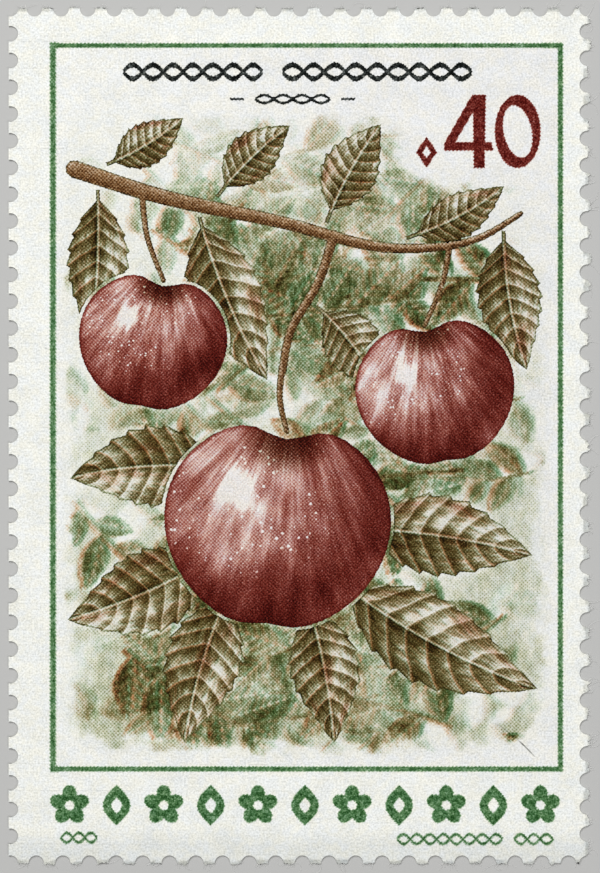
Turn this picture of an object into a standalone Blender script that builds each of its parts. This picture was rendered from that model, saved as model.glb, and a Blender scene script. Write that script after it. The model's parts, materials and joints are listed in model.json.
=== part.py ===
"""A perforated postage stamp, lying face up on its gum.

Outlines are drawn in millimetres around the middle of the stamp, with X across
the face and Y towards its top edge. Each finished mesh is brought to metres, and
the gum rests on Z = 0. The printed picture is a fruiting apple branch.
"""

import math
import random
from dataclasses import dataclass, replace

import bmesh
import bpy
from mathutils import Matrix, Vector

MM = 0.001

# Sheet and layers, in millimetres
WIDTH = 32.76
HEIGHT = 48.20
GUM_THICKNESS = 0.018
PAPER_THICKNESS = 0.100
LINE_INK_THICKNESS = 0.010
TINT_INK_THICKNESS = 0.004
LAYER_GAP = 0.002
GUM_TOP = GUM_THICKNESS
PAPER_BOTTOM = GUM_TOP + LAYER_GAP
PAPER_TOP = PAPER_BOTTOM + PAPER_THICKNESS
INK_BOTTOM = PAPER_TOP + LAYER_GAP
INK_TOP = INK_BOTTOM + LINE_INK_THICKNESS
PICTURE_BOTTOM = INK_TOP - TINT_INK_THICKNESS

# Perforation: a line of round holes down each edge, with one at each corner. Each line was
# struck by itself, so its first hole is its own distance from the corner hole it starts from.
PITCH_ACROSS = 1.495
PITCH_UP = 1.503
HOLE_RADIUS = 0.435
HOLE_STEPS = 6
HOLES_ACROSS = 21
HOLES_UP = 31
FIRST_HOLE = {"bottom": 1.45, "right": 1.64, "top": 1.16, "left": 1.40}
CUT_REACH = 0.10
SIDE_TEAR_REACH = 0.25
END_TEAR_REACH = 0.10
LEFT_HOLES_X = CUT_REACH - WIDTH / 2
RIGHT_HOLES_X = WIDTH / 2 - SIDE_TEAR_REACH
HOLE_ROW_Y = HEIGHT / 2 - END_TEAR_REACH
TIP_PLACES = (0.14, 0.38, 0.62, 0.86)
TIP_DIP = -0.30
TEAR_SEED = 11
GUM_HOLE_RADIUS = HOLE_RADIUS + 0.02
GUM_HOLE_STEPS = 5

# Frame line round the picture
FRAME_LEFT = -13.89
FRAME_RIGHT = 14.62
FRAME_BOTTOM = -18.71
FRAME_TOP = 21.94
FRAME_STROKE = 0.25

# Chains of lens-shaped links: left end, right end, middle height, height, links
CHAINS = {
    "header_chain_left": (-9.96, -2.09, 20.455, 1.13, 7),
    "header_chain_right": (-1.02, 9.66, 20.455, 1.13, 9),
    "subhead_chain": (-2.55, 1.70, 18.93, 0.66, 4),
    "footer_chain_left": (-13.45, -11.42, -22.57, 0.70, 3),
    "footer_chain_middle": (5.44, 11.36, -22.65, 0.70, 8),
    "footer_chain_right": (12.02, 14.21, -22.65, 0.70, 3),
}
CHAIN_STROKE_SHARES = {"black_ink": 0.30, "green_ink": 0.20}
LINK_STEPS = 6
SMALL_LINK_STEPS = 4
SMALL_CHAIN_HEIGHT = 0.80
DASH_WIDTH = 0.80
DASH_HEIGHT = 0.16
DASH_Y = 18.93
DASH_CENTRES_X = {"subhead_dash_left": -3.55, "subhead_dash_right": 2.68}

# Frieze of blossoms and upright leaves under the frame
FRIEZE_MOTIFS = 11
FRIEZE_FIRST_X = -12.96
FRIEZE_LAST_X = 13.50
FRIEZE_Y = -20.75
BLOSSOM_RADIUS = 1.12
BLOSSOM_NOTCH_RADIUS = 0.66
BLOSSOM_EYE_RADIUS = 0.30
BLOSSOM_PETALS = 5
BLOSSOM_STEPS = 40
EYE_STEPS = 8
BUD_HALF_HEIGHT = 1.12
BUD_HALF_WIDTH = 0.76
BUD_SLIT_SHARE = 0.42
BUD_STEPS = 8

# Value figure
DIGIT_HEIGHT = 4.10
DIGIT_BASE_Y = 15.06
FOUR_X = 8.10
ZERO_CENTRE_X = 12.22
ZERO_HALF_WIDTH = 1.28
ZERO_EYE_HALF_WIDTH = 0.80
ZERO_EYE_HALF_HEIGHT = 1.50
ZERO_EYE_TILT = math.radians(12)
ZERO_STEPS = 36
MARK_CENTRE = (7.10, 15.95)
MARK_HALF_WIDTH = 0.58
MARK_HALF_HEIGHT = 0.86
MARK_EYE_SHARE = 0.42

# Apples: centre, radius across and tilt in degrees
APPLES = {
    "apple_large": ((-1.30, -5.00), 6.40, -6),
    "apple_right": ((7.60, 2.50), 4.50, 9),
    "apple_left": ((-8.30, 5.30), 4.20, -10),
}
APPLE_FLATTENING = 0.93
APPLE_SHOULDER = 0.06
TOP_DIMPLE = (0.17, 0.26)
BOTTOM_DIMPLE = (0.06, 0.20)
APPLE_STEPS = 48
KNOCKOUT_GAP = 0.12

# Branch strokes: points along the middle, then the width at each end
BRANCH = (((-12.7, 15.0), (-7.6, 13.4), (-1.0, 12.0), (4.6, 10.6), (9.4, 10.9), (12.4, 12.5)), 1.05, 0.34)
SHOOT = (((1.9, 11.3), (1.0, 8.6), (-0.5, 6.0), (-1.0, 3.6)), 0.62, 0.50)
STALKS = {
    "stalk_large": (((-1.0, 3.9), (-1.15, 2.1), (-0.75, 0.25)), 0.46, 0.34),
    "stalk_right": (((8.4, 10.8), (8.0, 8.6), (6.98, 6.18)), 0.42, 0.32),
    "stalk_left": (((-8.9, 13.8), (-8.6, 11.2), (-7.67, 8.72)), 0.42, 0.32),
}
STROKE_STEPS = 5
END_STEPS = 4


@dataclass(frozen=True)
class Leaf:
    """A toothed leaf: where its base is, where it points, and what lies over it."""

    base: tuple
    heading: float
    length: float
    width: float
    bend: float
    petiole: float = 0.0
    behind: tuple = ()


LEAVES = {
    "leaf_01": Leaf((-10.45, 15.45), 24, 4.6, 2.4, 16, 0.50),
    "leaf_02": Leaf((-4.20, 14.05), 52, 5.0, 2.7, -18, 0.80),
    "leaf_03": Leaf((1.75, 12.70), 68, 5.6, 3.1, -16, 0.80),
    "leaf_04": Leaf((6.60, 11.35), 20, 5.6, 2.5, 18, 0.70),
    "leaf_05": Leaf((11.45, 10.95), -88, 7.4, 3.5, 16, 0.60, ("apple_right",)),
    "leaf_06": Leaf((-11.35, 13.25), -88, 8.0, 3.3, -10, 0.60, ("apple_left",)),
    "leaf_07": Leaf((-5.50, 11.75), -74, 9.4, 4.0, 14, 0.60, ("apple_left", "apple_large")),
    "leaf_08": Leaf((1.35, 6.90), -42, 5.6, 3.2, -26, 0.60, ("apple_right", "apple_large")),
    "leaf_09": Leaf((-4.60, -1.80), 174, 8.4, 4.4, 20, 0.0, ("apple_large", "apple_left")),
    "leaf_10": Leaf((-5.20, -7.00), 211, 8.6, 4.5, -16, 0.0, ("apple_large",)),
    "leaf_11": Leaf((-4.20, -9.20), 247, 8.4, 4.2, 14, 0.0, ("apple_large",)),
    "leaf_12": Leaf((0.60, -9.80), -74, 7.6, 3.8, -12, 0.0, ("apple_large",)),
    "leaf_13": Leaf((2.80, -8.60), -37, 12.0, 4.8, 18, 0.0, ("apple_large",)),
    "leaf_14": Leaf((3.60, -5.20), -2, 9.6, 4.4, -14, 0.0, ("apple_large",)),
}
LEAF_TEETH = 8
TOOTH_BACK = 0.965
TOOTH_TIP = 1.085
TOOTH_RISE = 0.82
PETIOLE_HALF_WIDTH = 0.13

# Pale ground of the picture: points along its rim, anticlockwise
GROUND_RIM = (
    (-13.1, -16.8), (-8.0, -17.9), (-2.0, -18.1), (4.0, -18.0), (10.0, -17.8), (13.7, -16.4),
    (14.1, -9.0), (14.0, -2.0), (14.1, 5.0), (13.9, 11.0), (12.9, 14.0), (9.0, 14.4), (6.4, 15.2),
    (5.7, 17.6), (2.0, 18.2), (-4.0, 18.1), (-9.0, 18.3), (-12.9, 17.7), (-13.4, 11.0),
    (-13.3, 4.0), (-13.4, -4.0), (-13.3, -11.0),
)
GROUND_STEPS = 3

# Finishes: base colour, roughness and metallic value
FINISHES = {
    "paper": ((0.86, 0.86, 0.83), 0.85, 0.0),
    "gum": ((0.82, 0.80, 0.70), 0.30, 0.0),
    "green_ink": ((0.055, 0.190, 0.065), 0.60, 0.0),
    "black_ink": ((0.015, 0.015, 0.018), 0.60, 0.0),
    "maroon_ink": ((0.165, 0.018, 0.014), 0.60, 0.0),
    "apple_ink": ((0.300, 0.075, 0.055), 0.60, 0.0),
    "leaf_ink": ((0.150, 0.180, 0.065), 0.60, 0.0),
    "bark_ink": ((0.110, 0.062, 0.030), 0.60, 0.0),
    "tint_ink": ((0.520, 0.600, 0.430), 0.70, 0.0),
}


def clear_scene():
    """Empties the file of the objects it opened with."""
    for old in list(bpy.data.objects):
        bpy.data.objects.remove(old, do_unlink=True)


def new_collection(name):
    """A collection of the scene."""
    collection = bpy.data.collections.new(name)
    bpy.context.scene.collection.children.link(collection)
    return collection


def finish_material(node_name, finish):
    """The material of one piece, with its finish's colour, roughness and metallic value."""
    colour, roughness, metallic = FINISHES[finish]
    material = bpy.data.materials.new(f"{node_name}_{finish}")
    material.use_nodes = True
    shader = material.node_tree.nodes["Principled BSDF"]
    shader.inputs["Base Color"].default_value = (*colour, 1.0)
    shader.inputs["Roughness"].default_value = roughness
    shader.inputs["Metallic"].default_value = metallic
    material.diffuse_color = (*colour, 1.0)
    return material


def flat_solid(name, loops, bottom, thickness, collection, place=(0.0, 0.0), turn=0.0):
    """A flat plate from closed outlines, where a loop inside another is a hole.

    The outlines and sizes are in millimetres. The mesh is in metres, with its underside
    at its object's origin, which stands at `place` and is turned by `turn`.
    """
    curve = bpy.data.curves.new(f"{name}_outline", "CURVE")
    curve.dimensions = "2D"
    curve.fill_mode = "BOTH"
    curve.extrude = thickness / 2
    for loop in loops:
        spline = curve.splines.new("POLY")
        spline.points.add(len(loop) - 1)
        for point, (x, y) in zip(spline.points, loop):
            point.co = (x, y, 0.0, 1.0)
        spline.use_cyclic_u = True
    drawn = bpy.data.objects.new(f"{name}_drawn", curve)
    collection.objects.link(drawn)
    bpy.context.view_layer.update()
    mesh = bpy.data.meshes.new_from_object(drawn.evaluated_get(bpy.context.evaluated_depsgraph_get()))
    bpy.data.objects.remove(drawn)
    bpy.data.curves.remove(curve)
    mesh.name = name
    mesh.transform(Matrix.Translation((0.0, 0.0, thickness / 2)))
    mesh.transform(Matrix.Scale(MM, 4))
    welded = bmesh.new()
    welded.from_mesh(mesh)
    bmesh.ops.remove_doubles(welded, verts=welded.verts, dist=1e-7)
    bmesh.ops.recalc_face_normals(welded, faces=welded.faces)
    welded.to_mesh(mesh)
    welded.free()
    solid = bpy.data.objects.new(name, mesh)
    solid.location = (place[0] * MM, place[1] * MM, bottom * MM)
    solid.rotation_euler = (0.0, 0.0, turn)
    collection.objects.link(solid)
    return solid


def film(name, loops, finish, bottom=INK_BOTTOM, thickness=LINE_INK_THICKNESS, place=(0.0, 0.0), turn=0.0):
    """A named layer of the stamp in its finish."""
    solid = flat_solid(name, loops, bottom, thickness, stamp, place, turn)
    solid.data.materials.clear()
    solid.data.materials.append(finish_material(name, finish))
    return solid


def picture_film(name, loops, finish, place=(0.0, 0.0), turn=0.0):
    """A thin film printed over the picture's ground."""
    return film(name, loops, finish, PICTURE_BOTTOM, TINT_INK_THICKNESS, place, turn)


def tool_film(name, loops, margin=0.0, place=(0.0, 0.0), turn=0.0):
    """A hidden plate at the picture's height, to cut with or to join on."""
    tool = flat_solid(
        name, loops, PICTURE_BOTTOM - margin, TINT_INK_THICKNESS + 2 * margin, cutters, place, turn
    )
    tool.hide_render = True
    tool.display_type = "WIRE"
    return tool


def combine(target, tool, operation):
    """Cuts the tool from the target, or joins it on."""
    modifier = target.modifiers.new(tool.name, "BOOLEAN")
    modifier.operation = operation
    modifier.solver = "EXACT"
    modifier.object = tool


@dataclass(frozen=True)
class Edge:
    """One edge of the stamp: a line of holes from one corner hole to the next."""

    name: str
    corner: Vector
    along: Vector
    outward: Vector
    holes: tuple
    reach: float
    torn: bool


def hole_places(name):
    """How far each hole of a line is from the corner hole before it. The last is the next corner's."""
    if name in ("top", "bottom"):
        pitch, count, span = PITCH_ACROSS, HOLES_ACROSS, RIGHT_HOLES_X - LEFT_HOLES_X
    else:
        pitch, count, span = PITCH_UP, HOLES_UP, 2 * HOLE_ROW_Y
    return (*(FIRST_HOLE[name] + pitch * number for number in range(count)), span)


def stamp_edges():
    """The four edges, anticlockwise from the bottom one. The left one was cut, the others torn."""
    right, up = Vector((1.0, 0.0)), Vector((0.0, 1.0))
    low_left, low_right, top_right, top_left = (
        Vector(corner) for corner in rectangle(LEFT_HOLES_X, RIGHT_HOLES_X, -HOLE_ROW_Y, HOLE_ROW_Y)
    )
    return [
        Edge("bottom", low_left, right, -up, hole_places("bottom"), END_TEAR_REACH, True),
        Edge("right", low_right, up, right, hole_places("right"), SIDE_TEAR_REACH, True),
        Edge("top", top_right, -right, up, hole_places("top"), END_TEAR_REACH, True),
        Edge("left", top_left, -up, -right, hole_places("left"), CUT_REACH, False),
    ]


def tear_profile(edge):
    """How far each torn tooth stands out at its places, as shares of the edge's reach."""
    draw = random.Random(f"{edge.name} {TEAR_SEED}")
    teeth = []
    for _ in edge.holes:
        level = draw.uniform(0.25, 0.85)
        teeth.append([max(TIP_DIP, level + draw.uniform(-0.35, 0.35)) for _ in TIP_PLACES])
    highest = max(max(tooth) for tooth in teeth)
    return [[share / highest if share > 0 else share for share in tooth] for tooth in teeth]


def perforated_rim(edges, radius, steps):
    """The outline of a sheet whose edges run through the holes."""
    rim = []
    for edge, following in zip(edges, edges[1:] + edges[:1]):
        lean = 0.0 if edge.torn else math.asin(edge.reach / radius)
        next_lean = 0.0 if following.torn else math.asin(following.reach / radius)
        profile = tear_profile(edge)
        before = 0.0
        for number, distance in enumerate(edge.holes):
            if edge.torn:
                start, end = before + radius, distance - radius
                for place, share in zip(TIP_PLACES, profile[number]):
                    tip = edge.corner + edge.along * (start + (end - start) * place)
                    rim.append(tip + edge.outward * edge.reach * share)
            is_corner = distance == edge.holes[-1]
            last = math.pi / 2 + next_lean if is_corner else math.pi + lean
            turns = math.ceil(steps * (last + lean) / math.pi - 0.3)
            centre = edge.corner + edge.along * distance
            for turn in range(turns + 1):
                angle = (last + lean) * turn / turns - lean
                inward = math.cos(angle) * edge.along + math.sin(angle) * edge.outward
                rim.append(centre - radius * inward)
            before = distance
    return [tuple(point) for point in rim]


def make_sheet():
    """The paper, and the gum under it, which stops at the lines of holes where it was torn."""
    edges = stamp_edges()
    film("paper_sheet", [perforated_rim(edges, HOLE_RADIUS, HOLE_STEPS)], "paper", PAPER_BOTTOM, PAPER_THICKNESS)
    gum_edges = [replace(edge, reach=0.0, torn=False) if edge.torn else edge for edge in edges]
    film("gum_film", [perforated_rim(gum_edges, GUM_HOLE_RADIUS, GUM_HOLE_STEPS)], "gum", 0.0, GUM_THICKNESS)


def rectangle(left, right, bottom, top):
    """The corners of a rectangle, anticlockwise."""
    return [(left, bottom), (right, bottom), (right, top), (left, top)]


def ellipse(half_width, half_height, steps, tilt=0.0):
    """Points round an ellipse about the origin, turned by `tilt`."""
    points = []
    for step in range(steps):
        angle = math.tau * step / steps
        x, y = half_width * math.cos(angle), half_height * math.sin(angle)
        points.append((x * math.cos(tilt) - y * math.sin(tilt), x * math.sin(tilt) + y * math.cos(tilt)))
    return points


def make_frame_line():
    """The ruled line round the picture."""
    half = FRAME_STROKE / 2
    outer = rectangle(FRAME_LEFT - half, FRAME_RIGHT + half, FRAME_BOTTOM - half, FRAME_TOP + half)
    inner = rectangle(FRAME_LEFT + half, FRAME_RIGHT - half, FRAME_BOTTOM + half, FRAME_TOP - half)
    film("frame_line", [outer, inner], "green_ink")


def chain_loops(length, height, links, stroke):
    """Two waved strokes that cross between the links: their rim and the eye in each link."""
    swing = (height - stroke) / 2
    steps = SMALL_LINK_STEPS if height < SMALL_CHAIN_HEIGHT else LINK_STEPS
    link = length / links
    rise = [swing * abs(math.sin(math.pi * step / steps)) + stroke / 2 for step in range(links * steps + 1)]
    upper = [(link * step / steps, y) for step, y in enumerate(rise)]
    loops = [[(x, -y) for x, y in upper] + upper[::-1]]
    eye_start = math.asin(stroke / 2 / swing) / math.pi
    for number in range(links):
        upper = []
        for step in range(steps + 1):
            share = eye_start + (1 - 2 * eye_start) * step / steps
            upper.append((link * (number + share), swing * math.sin(math.pi * share) - stroke / 2))
        loops.append([(x, -y) for x, y in upper] + upper[-2:0:-1])
    return loops


def make_chains():
    """Small ornaments in the places of lettering, black above the picture and green below it."""
    for name, (left, right, middle, height, links) in CHAINS.items():
        finish = "green_ink" if middle < 0 else "black_ink"
        stroke = CHAIN_STROKE_SHARES[finish] * height
        film(name, chain_loops(right - left, height, links, stroke), finish, place=(left, middle))
    dash = rectangle(-DASH_WIDTH / 2, DASH_WIDTH / 2, -DASH_HEIGHT / 2, DASH_HEIGHT / 2)
    for name, x in DASH_CENTRES_X.items():
        film(name, [dash], "black_ink", place=(x, DASH_Y))


def blossom_loops():
    """A blossom of rounded petals with a round eye."""
    rim = []
    for step in range(BLOSSOM_STEPS):
        angle = math.tau * step / BLOSSOM_STEPS
        petal = abs(math.cos(BLOSSOM_PETALS * angle / 2))
        radius = BLOSSOM_NOTCH_RADIUS + (BLOSSOM_RADIUS - BLOSSOM_NOTCH_RADIUS) * petal
        rim.append((-radius * math.sin(angle), radius * math.cos(angle)))
    return [rim, ellipse(BLOSSOM_EYE_RADIUS, BLOSSOM_EYE_RADIUS, EYE_STEPS)]


def bud_side(scale):
    """One side of an upright pointed leaf, from its lower point to its upper one."""
    points = []
    for step in range(BUD_STEPS + 1):
        share = step / BUD_STEPS
        y = (2 * share - 1) * BUD_HALF_HEIGHT * scale
        points.append((math.sin(math.pi * share) * BUD_HALF_WIDTH * scale, y))
    return points


def bud_loops():
    """An upright pointed leaf with a slit down its middle."""
    loops = []
    for scale in (1.0, BUD_SLIT_SHARE):
        side = bud_side(scale)
        loops.append(side + [(-x, y) for x, y in side[-2:0:-1]])
    return loops


def make_frieze():
    """A row of blossoms with upright leaves between them."""
    pitch = (FRIEZE_LAST_X - FRIEZE_FIRST_X) / (FRIEZE_MOTIFS - 1)
    for number in range(FRIEZE_MOTIFS):
        place = (FRIEZE_FIRST_X + pitch * number, FRIEZE_Y)
        loops = bud_loops() if number % 2 else blossom_loops()
        film(f"frieze_motif_{number + 1:02d}", loops, "green_ink", place=place)


def four_loops():
    """A bold figure four, with its foot at the origin."""
    height = DIGIT_HEIGHT
    stem_left, stem_right = 1.62, 2.28
    bar_bottom, bar_top, bar_end = 0.98, 1.44, 2.74
    rim = [
        (stem_left + 0.04, 0.0), (stem_right - 0.02, 0.0), (stem_right - 0.02, bar_bottom),
        (bar_end, bar_bottom), (bar_end - 0.10, bar_top), (stem_right, bar_top),
        (stem_right + 0.04, height), (stem_left - 0.06, height), (0.0, bar_top - 0.06),
        (0.0, bar_bottom), (stem_left + 0.03, bar_bottom),
    ]
    eye = [(0.60, bar_top), (stem_left + 0.02, bar_top), (stem_left, 3.16)]
    return [rim, eye]


def make_value():
    """A plain figure with a small lozenge before it."""
    film("value_four", four_loops(), "maroon_ink", place=(FOUR_X, DIGIT_BASE_Y))
    outer = ellipse(ZERO_HALF_WIDTH, DIGIT_HEIGHT / 2, ZERO_STEPS)
    eye = ellipse(ZERO_EYE_HALF_WIDTH, ZERO_EYE_HALF_HEIGHT, ZERO_STEPS * 3 // 4, ZERO_EYE_TILT)
    centre = (ZERO_CENTRE_X, DIGIT_BASE_Y + DIGIT_HEIGHT / 2)
    film("value_zero", [outer, eye], "maroon_ink", place=centre)
    lozenge = ellipse(MARK_HALF_WIDTH, MARK_HALF_HEIGHT, 4)
    inside = [(x * MARK_EYE_SHARE, y * MARK_EYE_SHARE) for x, y in lozenge]
    film("value_mark", [lozenge, inside], "maroon_ink", place=MARK_CENTRE)


def smooth_path(knots, steps, closed=False):
    """Points on a smooth curve through the knots, each with its share of the way along."""
    points = [Vector(knot) for knot in knots]
    count = len(points)
    spans = count if closed else count - 1
    path = []
    for span in range(spans):
        if closed:
            before, start, end, after = (points[(span + shift) % count] for shift in (-1, 0, 1, 2))
        else:
            before, start, end, after = (
                points[min(max(span + shift, 0), count - 1)] for shift in (-1, 0, 1, 2)
            )
        for step in range(steps):
            t = step / steps
            bow = (end - before) * t + (2 * before - 5 * start + 4 * end - after) * t**2
            path.append(start + (bow + (3 * start - before - 3 * end + after) * t**3) / 2)
    if not closed:
        path.append(points[-1])
    return path


def stroke_loop(knots, first_width, last_width):
    """The outline of a tapering stroke with round ends."""
    path = smooth_path(knots, STROKE_STEPS)
    left, right = [], []
    for number, point in enumerate(path):
        ahead = path[min(number + 1, len(path) - 1)] - path[max(number - 1, 0)]
        side = Vector((-ahead.y, ahead.x)).normalized()
        half = (first_width + (last_width - first_width) * number / (len(path) - 1)) / 2
        left.append(point + side * half)
        right.append(point - side * half)
    loop = right + round_end(path[-1], right[-1]) + left[::-1] + round_end(path[0], left[0])
    return [tuple(point) for point in loop]


def round_end(centre, start):
    """The points between the two corners of a stroke's end, half a turn anticlockwise."""
    arm = start - centre
    return [centre + Matrix.Rotation(math.pi * step / END_STEPS, 2) @ arm for step in range(1, END_STEPS)]


def apple_loop(radius):
    """An apple's outline: broad shoulders, a dimple at the top and a shallow one below."""
    loop = []
    for step in range(APPLE_STEPS):
        angle = math.tau * step / APPLE_STEPS
        across, up = math.cos(angle), math.sin(angle)
        x = across * (1 + APPLE_SHOULDER * up)
        depth, spread = TOP_DIMPLE if up > 0 else BOTTOM_DIMPLE
        dimple = depth * math.exp(-((x / spread) ** 2)) * math.copysign(1.0, up)
        if abs(up) < 1e-6:
            dimple = 0.0
        loop.append((x * radius, (up * APPLE_FLATTENING - dimple) * radius))
    return loop


def leaf_half_width(share, width):
    """Half the width of a leaf at a share of its length, without its teeth."""
    return width / 2 * math.sin(math.pi * share**0.8)


def leaf_loop(leaf):
    """The outline of a leaf: teeth that point to its tip, and a petiole behind its base."""
    bend = math.radians(leaf.bend)
    right, left = [], []

    def rib(share, out):
        heading = bend * share
        middle = Vector((math.sin(heading), 1 - math.cos(heading))) * leaf.length / bend
        side = Vector((-math.sin(heading), math.cos(heading)))
        left.append(middle + side * out)
        right.append(middle - side * out)

    if leaf.petiole:
        left.append(Vector((-leaf.petiole, PETIOLE_HALF_WIDTH)))
        right.append(Vector((-leaf.petiole, -PETIOLE_HALF_WIDTH)))
    rib(0.0, PETIOLE_HALF_WIDTH)
    for tooth in range(LEAF_TEETH):
        start = (tooth + 0.35) / (LEAF_TEETH + 0.9)
        tip = start + TOOTH_RISE / (LEAF_TEETH + 0.9)
        rib(start, leaf_half_width(start, leaf.width) * TOOTH_BACK + 0.02)
        rib(tip, leaf_half_width(tip, leaf.width) * TOOTH_TIP + 0.03)
    end = Vector((math.sin(bend), 1 - math.cos(bend))) * leaf.length / bend
    return [tuple(point) for point in right + [end] + left[::-1]]


def make_picture():
    """The pale ground, and over it the branch, its apples and its leaves."""
    ground = [tuple(point) for point in smooth_path(GROUND_RIM, GROUND_STEPS, closed=True)]
    film("picture_ground", [ground], "tint_ink", INK_BOTTOM, TINT_INK_THICKNESS)
    branch = picture_film("branch", [stroke_loop(*BRANCH)], "bark_ink")
    combine(branch, tool_film("shoot", [stroke_loop(*SHOOT)]), "UNION")
    for name, stalk in STALKS.items():
        combine(branch, tool_film(name, [stroke_loop(*stalk)]), "UNION")
    knockouts = {}
    for name, (centre, radius, tilt) in APPLES.items():
        turn = math.radians(tilt)
        picture_film(name, [apple_loop(radius)], "apple_ink", centre, turn)
        grown = [apple_loop(radius + KNOCKOUT_GAP)]
        knockouts[name] = tool_film(f"{name}_knockout", grown, LAYER_GAP / 2, centre, turn)
    for name, leaf in LEAVES.items():
        blade = picture_film(name, [leaf_loop(leaf)], "leaf_ink", leaf.base, math.radians(leaf.heading))
        for apple in leaf.behind:
            combine(blade, knockouts[apple], "DIFFERENCE")


clear_scene()
stamp = new_collection("postage_stamp")
cutters = new_collection("cutters")
make_sheet()
make_frame_line()
make_chains()
make_frieze()
make_value()
make_picture()
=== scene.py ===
"""Looks of a perforated postage stamp: torn paper, gum and screened gravure inks."""

from __future__ import annotations

import json
import logging
import math
import random
from dataclasses import dataclass, field
from enum import Enum, auto
from typing import Callable, Iterable, Sequence

import bmesh
import bpy
import numpy as np
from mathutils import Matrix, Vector, noise
from mathutils.kdtree import KDTree


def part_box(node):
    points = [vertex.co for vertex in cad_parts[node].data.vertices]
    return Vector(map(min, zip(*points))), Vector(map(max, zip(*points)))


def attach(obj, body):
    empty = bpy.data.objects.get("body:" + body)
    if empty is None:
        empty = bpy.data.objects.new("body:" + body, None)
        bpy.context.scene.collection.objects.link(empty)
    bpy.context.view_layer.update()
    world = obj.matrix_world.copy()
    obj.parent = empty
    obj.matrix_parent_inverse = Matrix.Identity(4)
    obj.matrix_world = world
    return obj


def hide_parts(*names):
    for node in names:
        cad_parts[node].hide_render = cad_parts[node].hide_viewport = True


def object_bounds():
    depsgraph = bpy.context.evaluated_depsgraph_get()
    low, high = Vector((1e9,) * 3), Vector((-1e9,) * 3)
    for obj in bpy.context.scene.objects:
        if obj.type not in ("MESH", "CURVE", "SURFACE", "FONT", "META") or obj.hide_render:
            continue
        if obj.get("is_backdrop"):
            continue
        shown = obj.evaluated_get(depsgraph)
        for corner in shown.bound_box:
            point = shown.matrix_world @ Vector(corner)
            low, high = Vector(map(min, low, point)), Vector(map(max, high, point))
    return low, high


LOG = logging.getLogger("postage_stamp")

MM = 0.001
BODY = "root"
WELD = 5e-7
CUT_WELD = 1e-9
RELIEF = 0.004 * MM

# Lengths along the rim of a printed film, in millimetres
RIM_STEP = 0.045
MOTIF_SERRATION = 0.025
MOTIF_SPREAD = -0.024

# The kinds of value that a finish is made of. A ramp is the limits of a smooth step, and
# where it isn't from 0 to 1, what it goes from and to.
Colour = tuple[float, float, float]
Span = tuple[float, float]
Ramp = tuple[float, ...]

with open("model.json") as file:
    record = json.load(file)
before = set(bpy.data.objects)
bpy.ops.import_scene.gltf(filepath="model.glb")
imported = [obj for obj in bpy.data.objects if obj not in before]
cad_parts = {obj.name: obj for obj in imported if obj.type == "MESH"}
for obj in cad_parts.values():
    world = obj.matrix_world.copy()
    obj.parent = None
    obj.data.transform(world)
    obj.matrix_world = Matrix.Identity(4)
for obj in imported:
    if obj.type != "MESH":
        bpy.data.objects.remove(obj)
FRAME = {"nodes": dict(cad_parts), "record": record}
CAD_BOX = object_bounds()


class Ink(Enum):
    """The four inks. Each value is how much red, green and blue light a full film of it takes up."""

    GREEN = (3.00, 1.90, 3.00)
    OCHRE = (0.62, 1.58, 2.50)
    RED = (1.95, 4.60, 5.00)
    BLACK = (4.60, 4.35, 4.40)


class Side(Enum):
    """A side of the stamp."""

    LEFT = auto()
    RIGHT = auto()
    HEAD = auto()
    FOOT = auto()


class Field:
    """A value that varies over a surface: a node's output that takes arithmetic."""

    def __init__(self, graph: Graph, socket: bpy.types.NodeSocket) -> None:
        """Wraps the output of a node in the given tree."""
        self.graph = graph
        self.socket = socket

    def __add__(self, other: Number) -> Field:
        """The sum."""
        return self.graph.maths("ADD", self, other)

    def __sub__(self, other: Number) -> Field:
        """The difference."""
        return self.graph.maths("SUBTRACT", self, other)

    def __rsub__(self, other: Number) -> Field:
        """A plain number less this."""
        return self.graph.maths("SUBTRACT", other, self)

    def __mul__(self, other: Number) -> Field:
        """The product."""
        return self.graph.maths("MULTIPLY", self, other)

    def __truediv__(self, other: Number) -> Field:
        """The quotient."""
        return self.graph.maths("DIVIDE", self, other)

    __radd__ = __add__
    __rmul__ = __mul__

    def abs(self) -> Field:
        """The size without the sign."""
        return self.graph.maths("ABSOLUTE", self)

    def cosine(self) -> Field:
        """The cosine of an angle in radians."""
        return self.graph.maths("COSINE", self)

    def fraction(self) -> Field:
        """What is left over the whole number below."""
        return self.graph.maths("FRACT", self)

    def root(self) -> Field:
        """The square root, with nothing below zero."""
        return self.graph.maths("SQRT", self.most(0.0))

    def power(self, exponent: float) -> Field:
        """A power of a value above zero."""
        return self.graph.maths("POWER", self.most(1e-5), exponent)

    def exponential(self) -> Field:
        """The number e to this power."""
        return self.graph.maths("EXPONENT", self)

    def most(self, other: Number) -> Field:
        """The larger of the two."""
        return self.graph.maths("MAXIMUM", self, other)

    def least(self, other: Number) -> Field:
        """The smaller of the two."""
        return self.graph.maths("MINIMUM", self, other)

    def clamped(self, low: float = 0.0, high: float = 1.0) -> Field:
        """The value kept between two limits."""
        return self.most(low).least(high)

    def ramp(self, low: Number, high: Number, start: float = 0.0, end: float = 1.0) -> Field:
        """A smooth step.

        Args:
            low: The value at which it begins.
            high: The value at which it ends.
            start: What it goes from.
            end: What it goes to.

        Returns:
            The stepped value.
        """
        node = self.graph.add("ShaderNodeMapRange", interpolation_type="SMOOTHSTEP")
        for socket, value in zip(node.inputs, (self, low, high, start, end)):
            self.graph.feed(socket, value)
        return Field(self.graph, node.outputs["Result"])

    def within(self, low: float, high: float, soft: float) -> Field:
        """1 between two limits and 0 beyond them, with soft steps."""
        return self.ramp(low - soft, low + soft) * self.ramp(high - soft, high + soft, 1.0, 0.0)


Number = Field | float


def length(x: Field, y: Field) -> Field:
    """How long the arm from nothing to a place is."""
    return (x * x + y * y).root()


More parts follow.
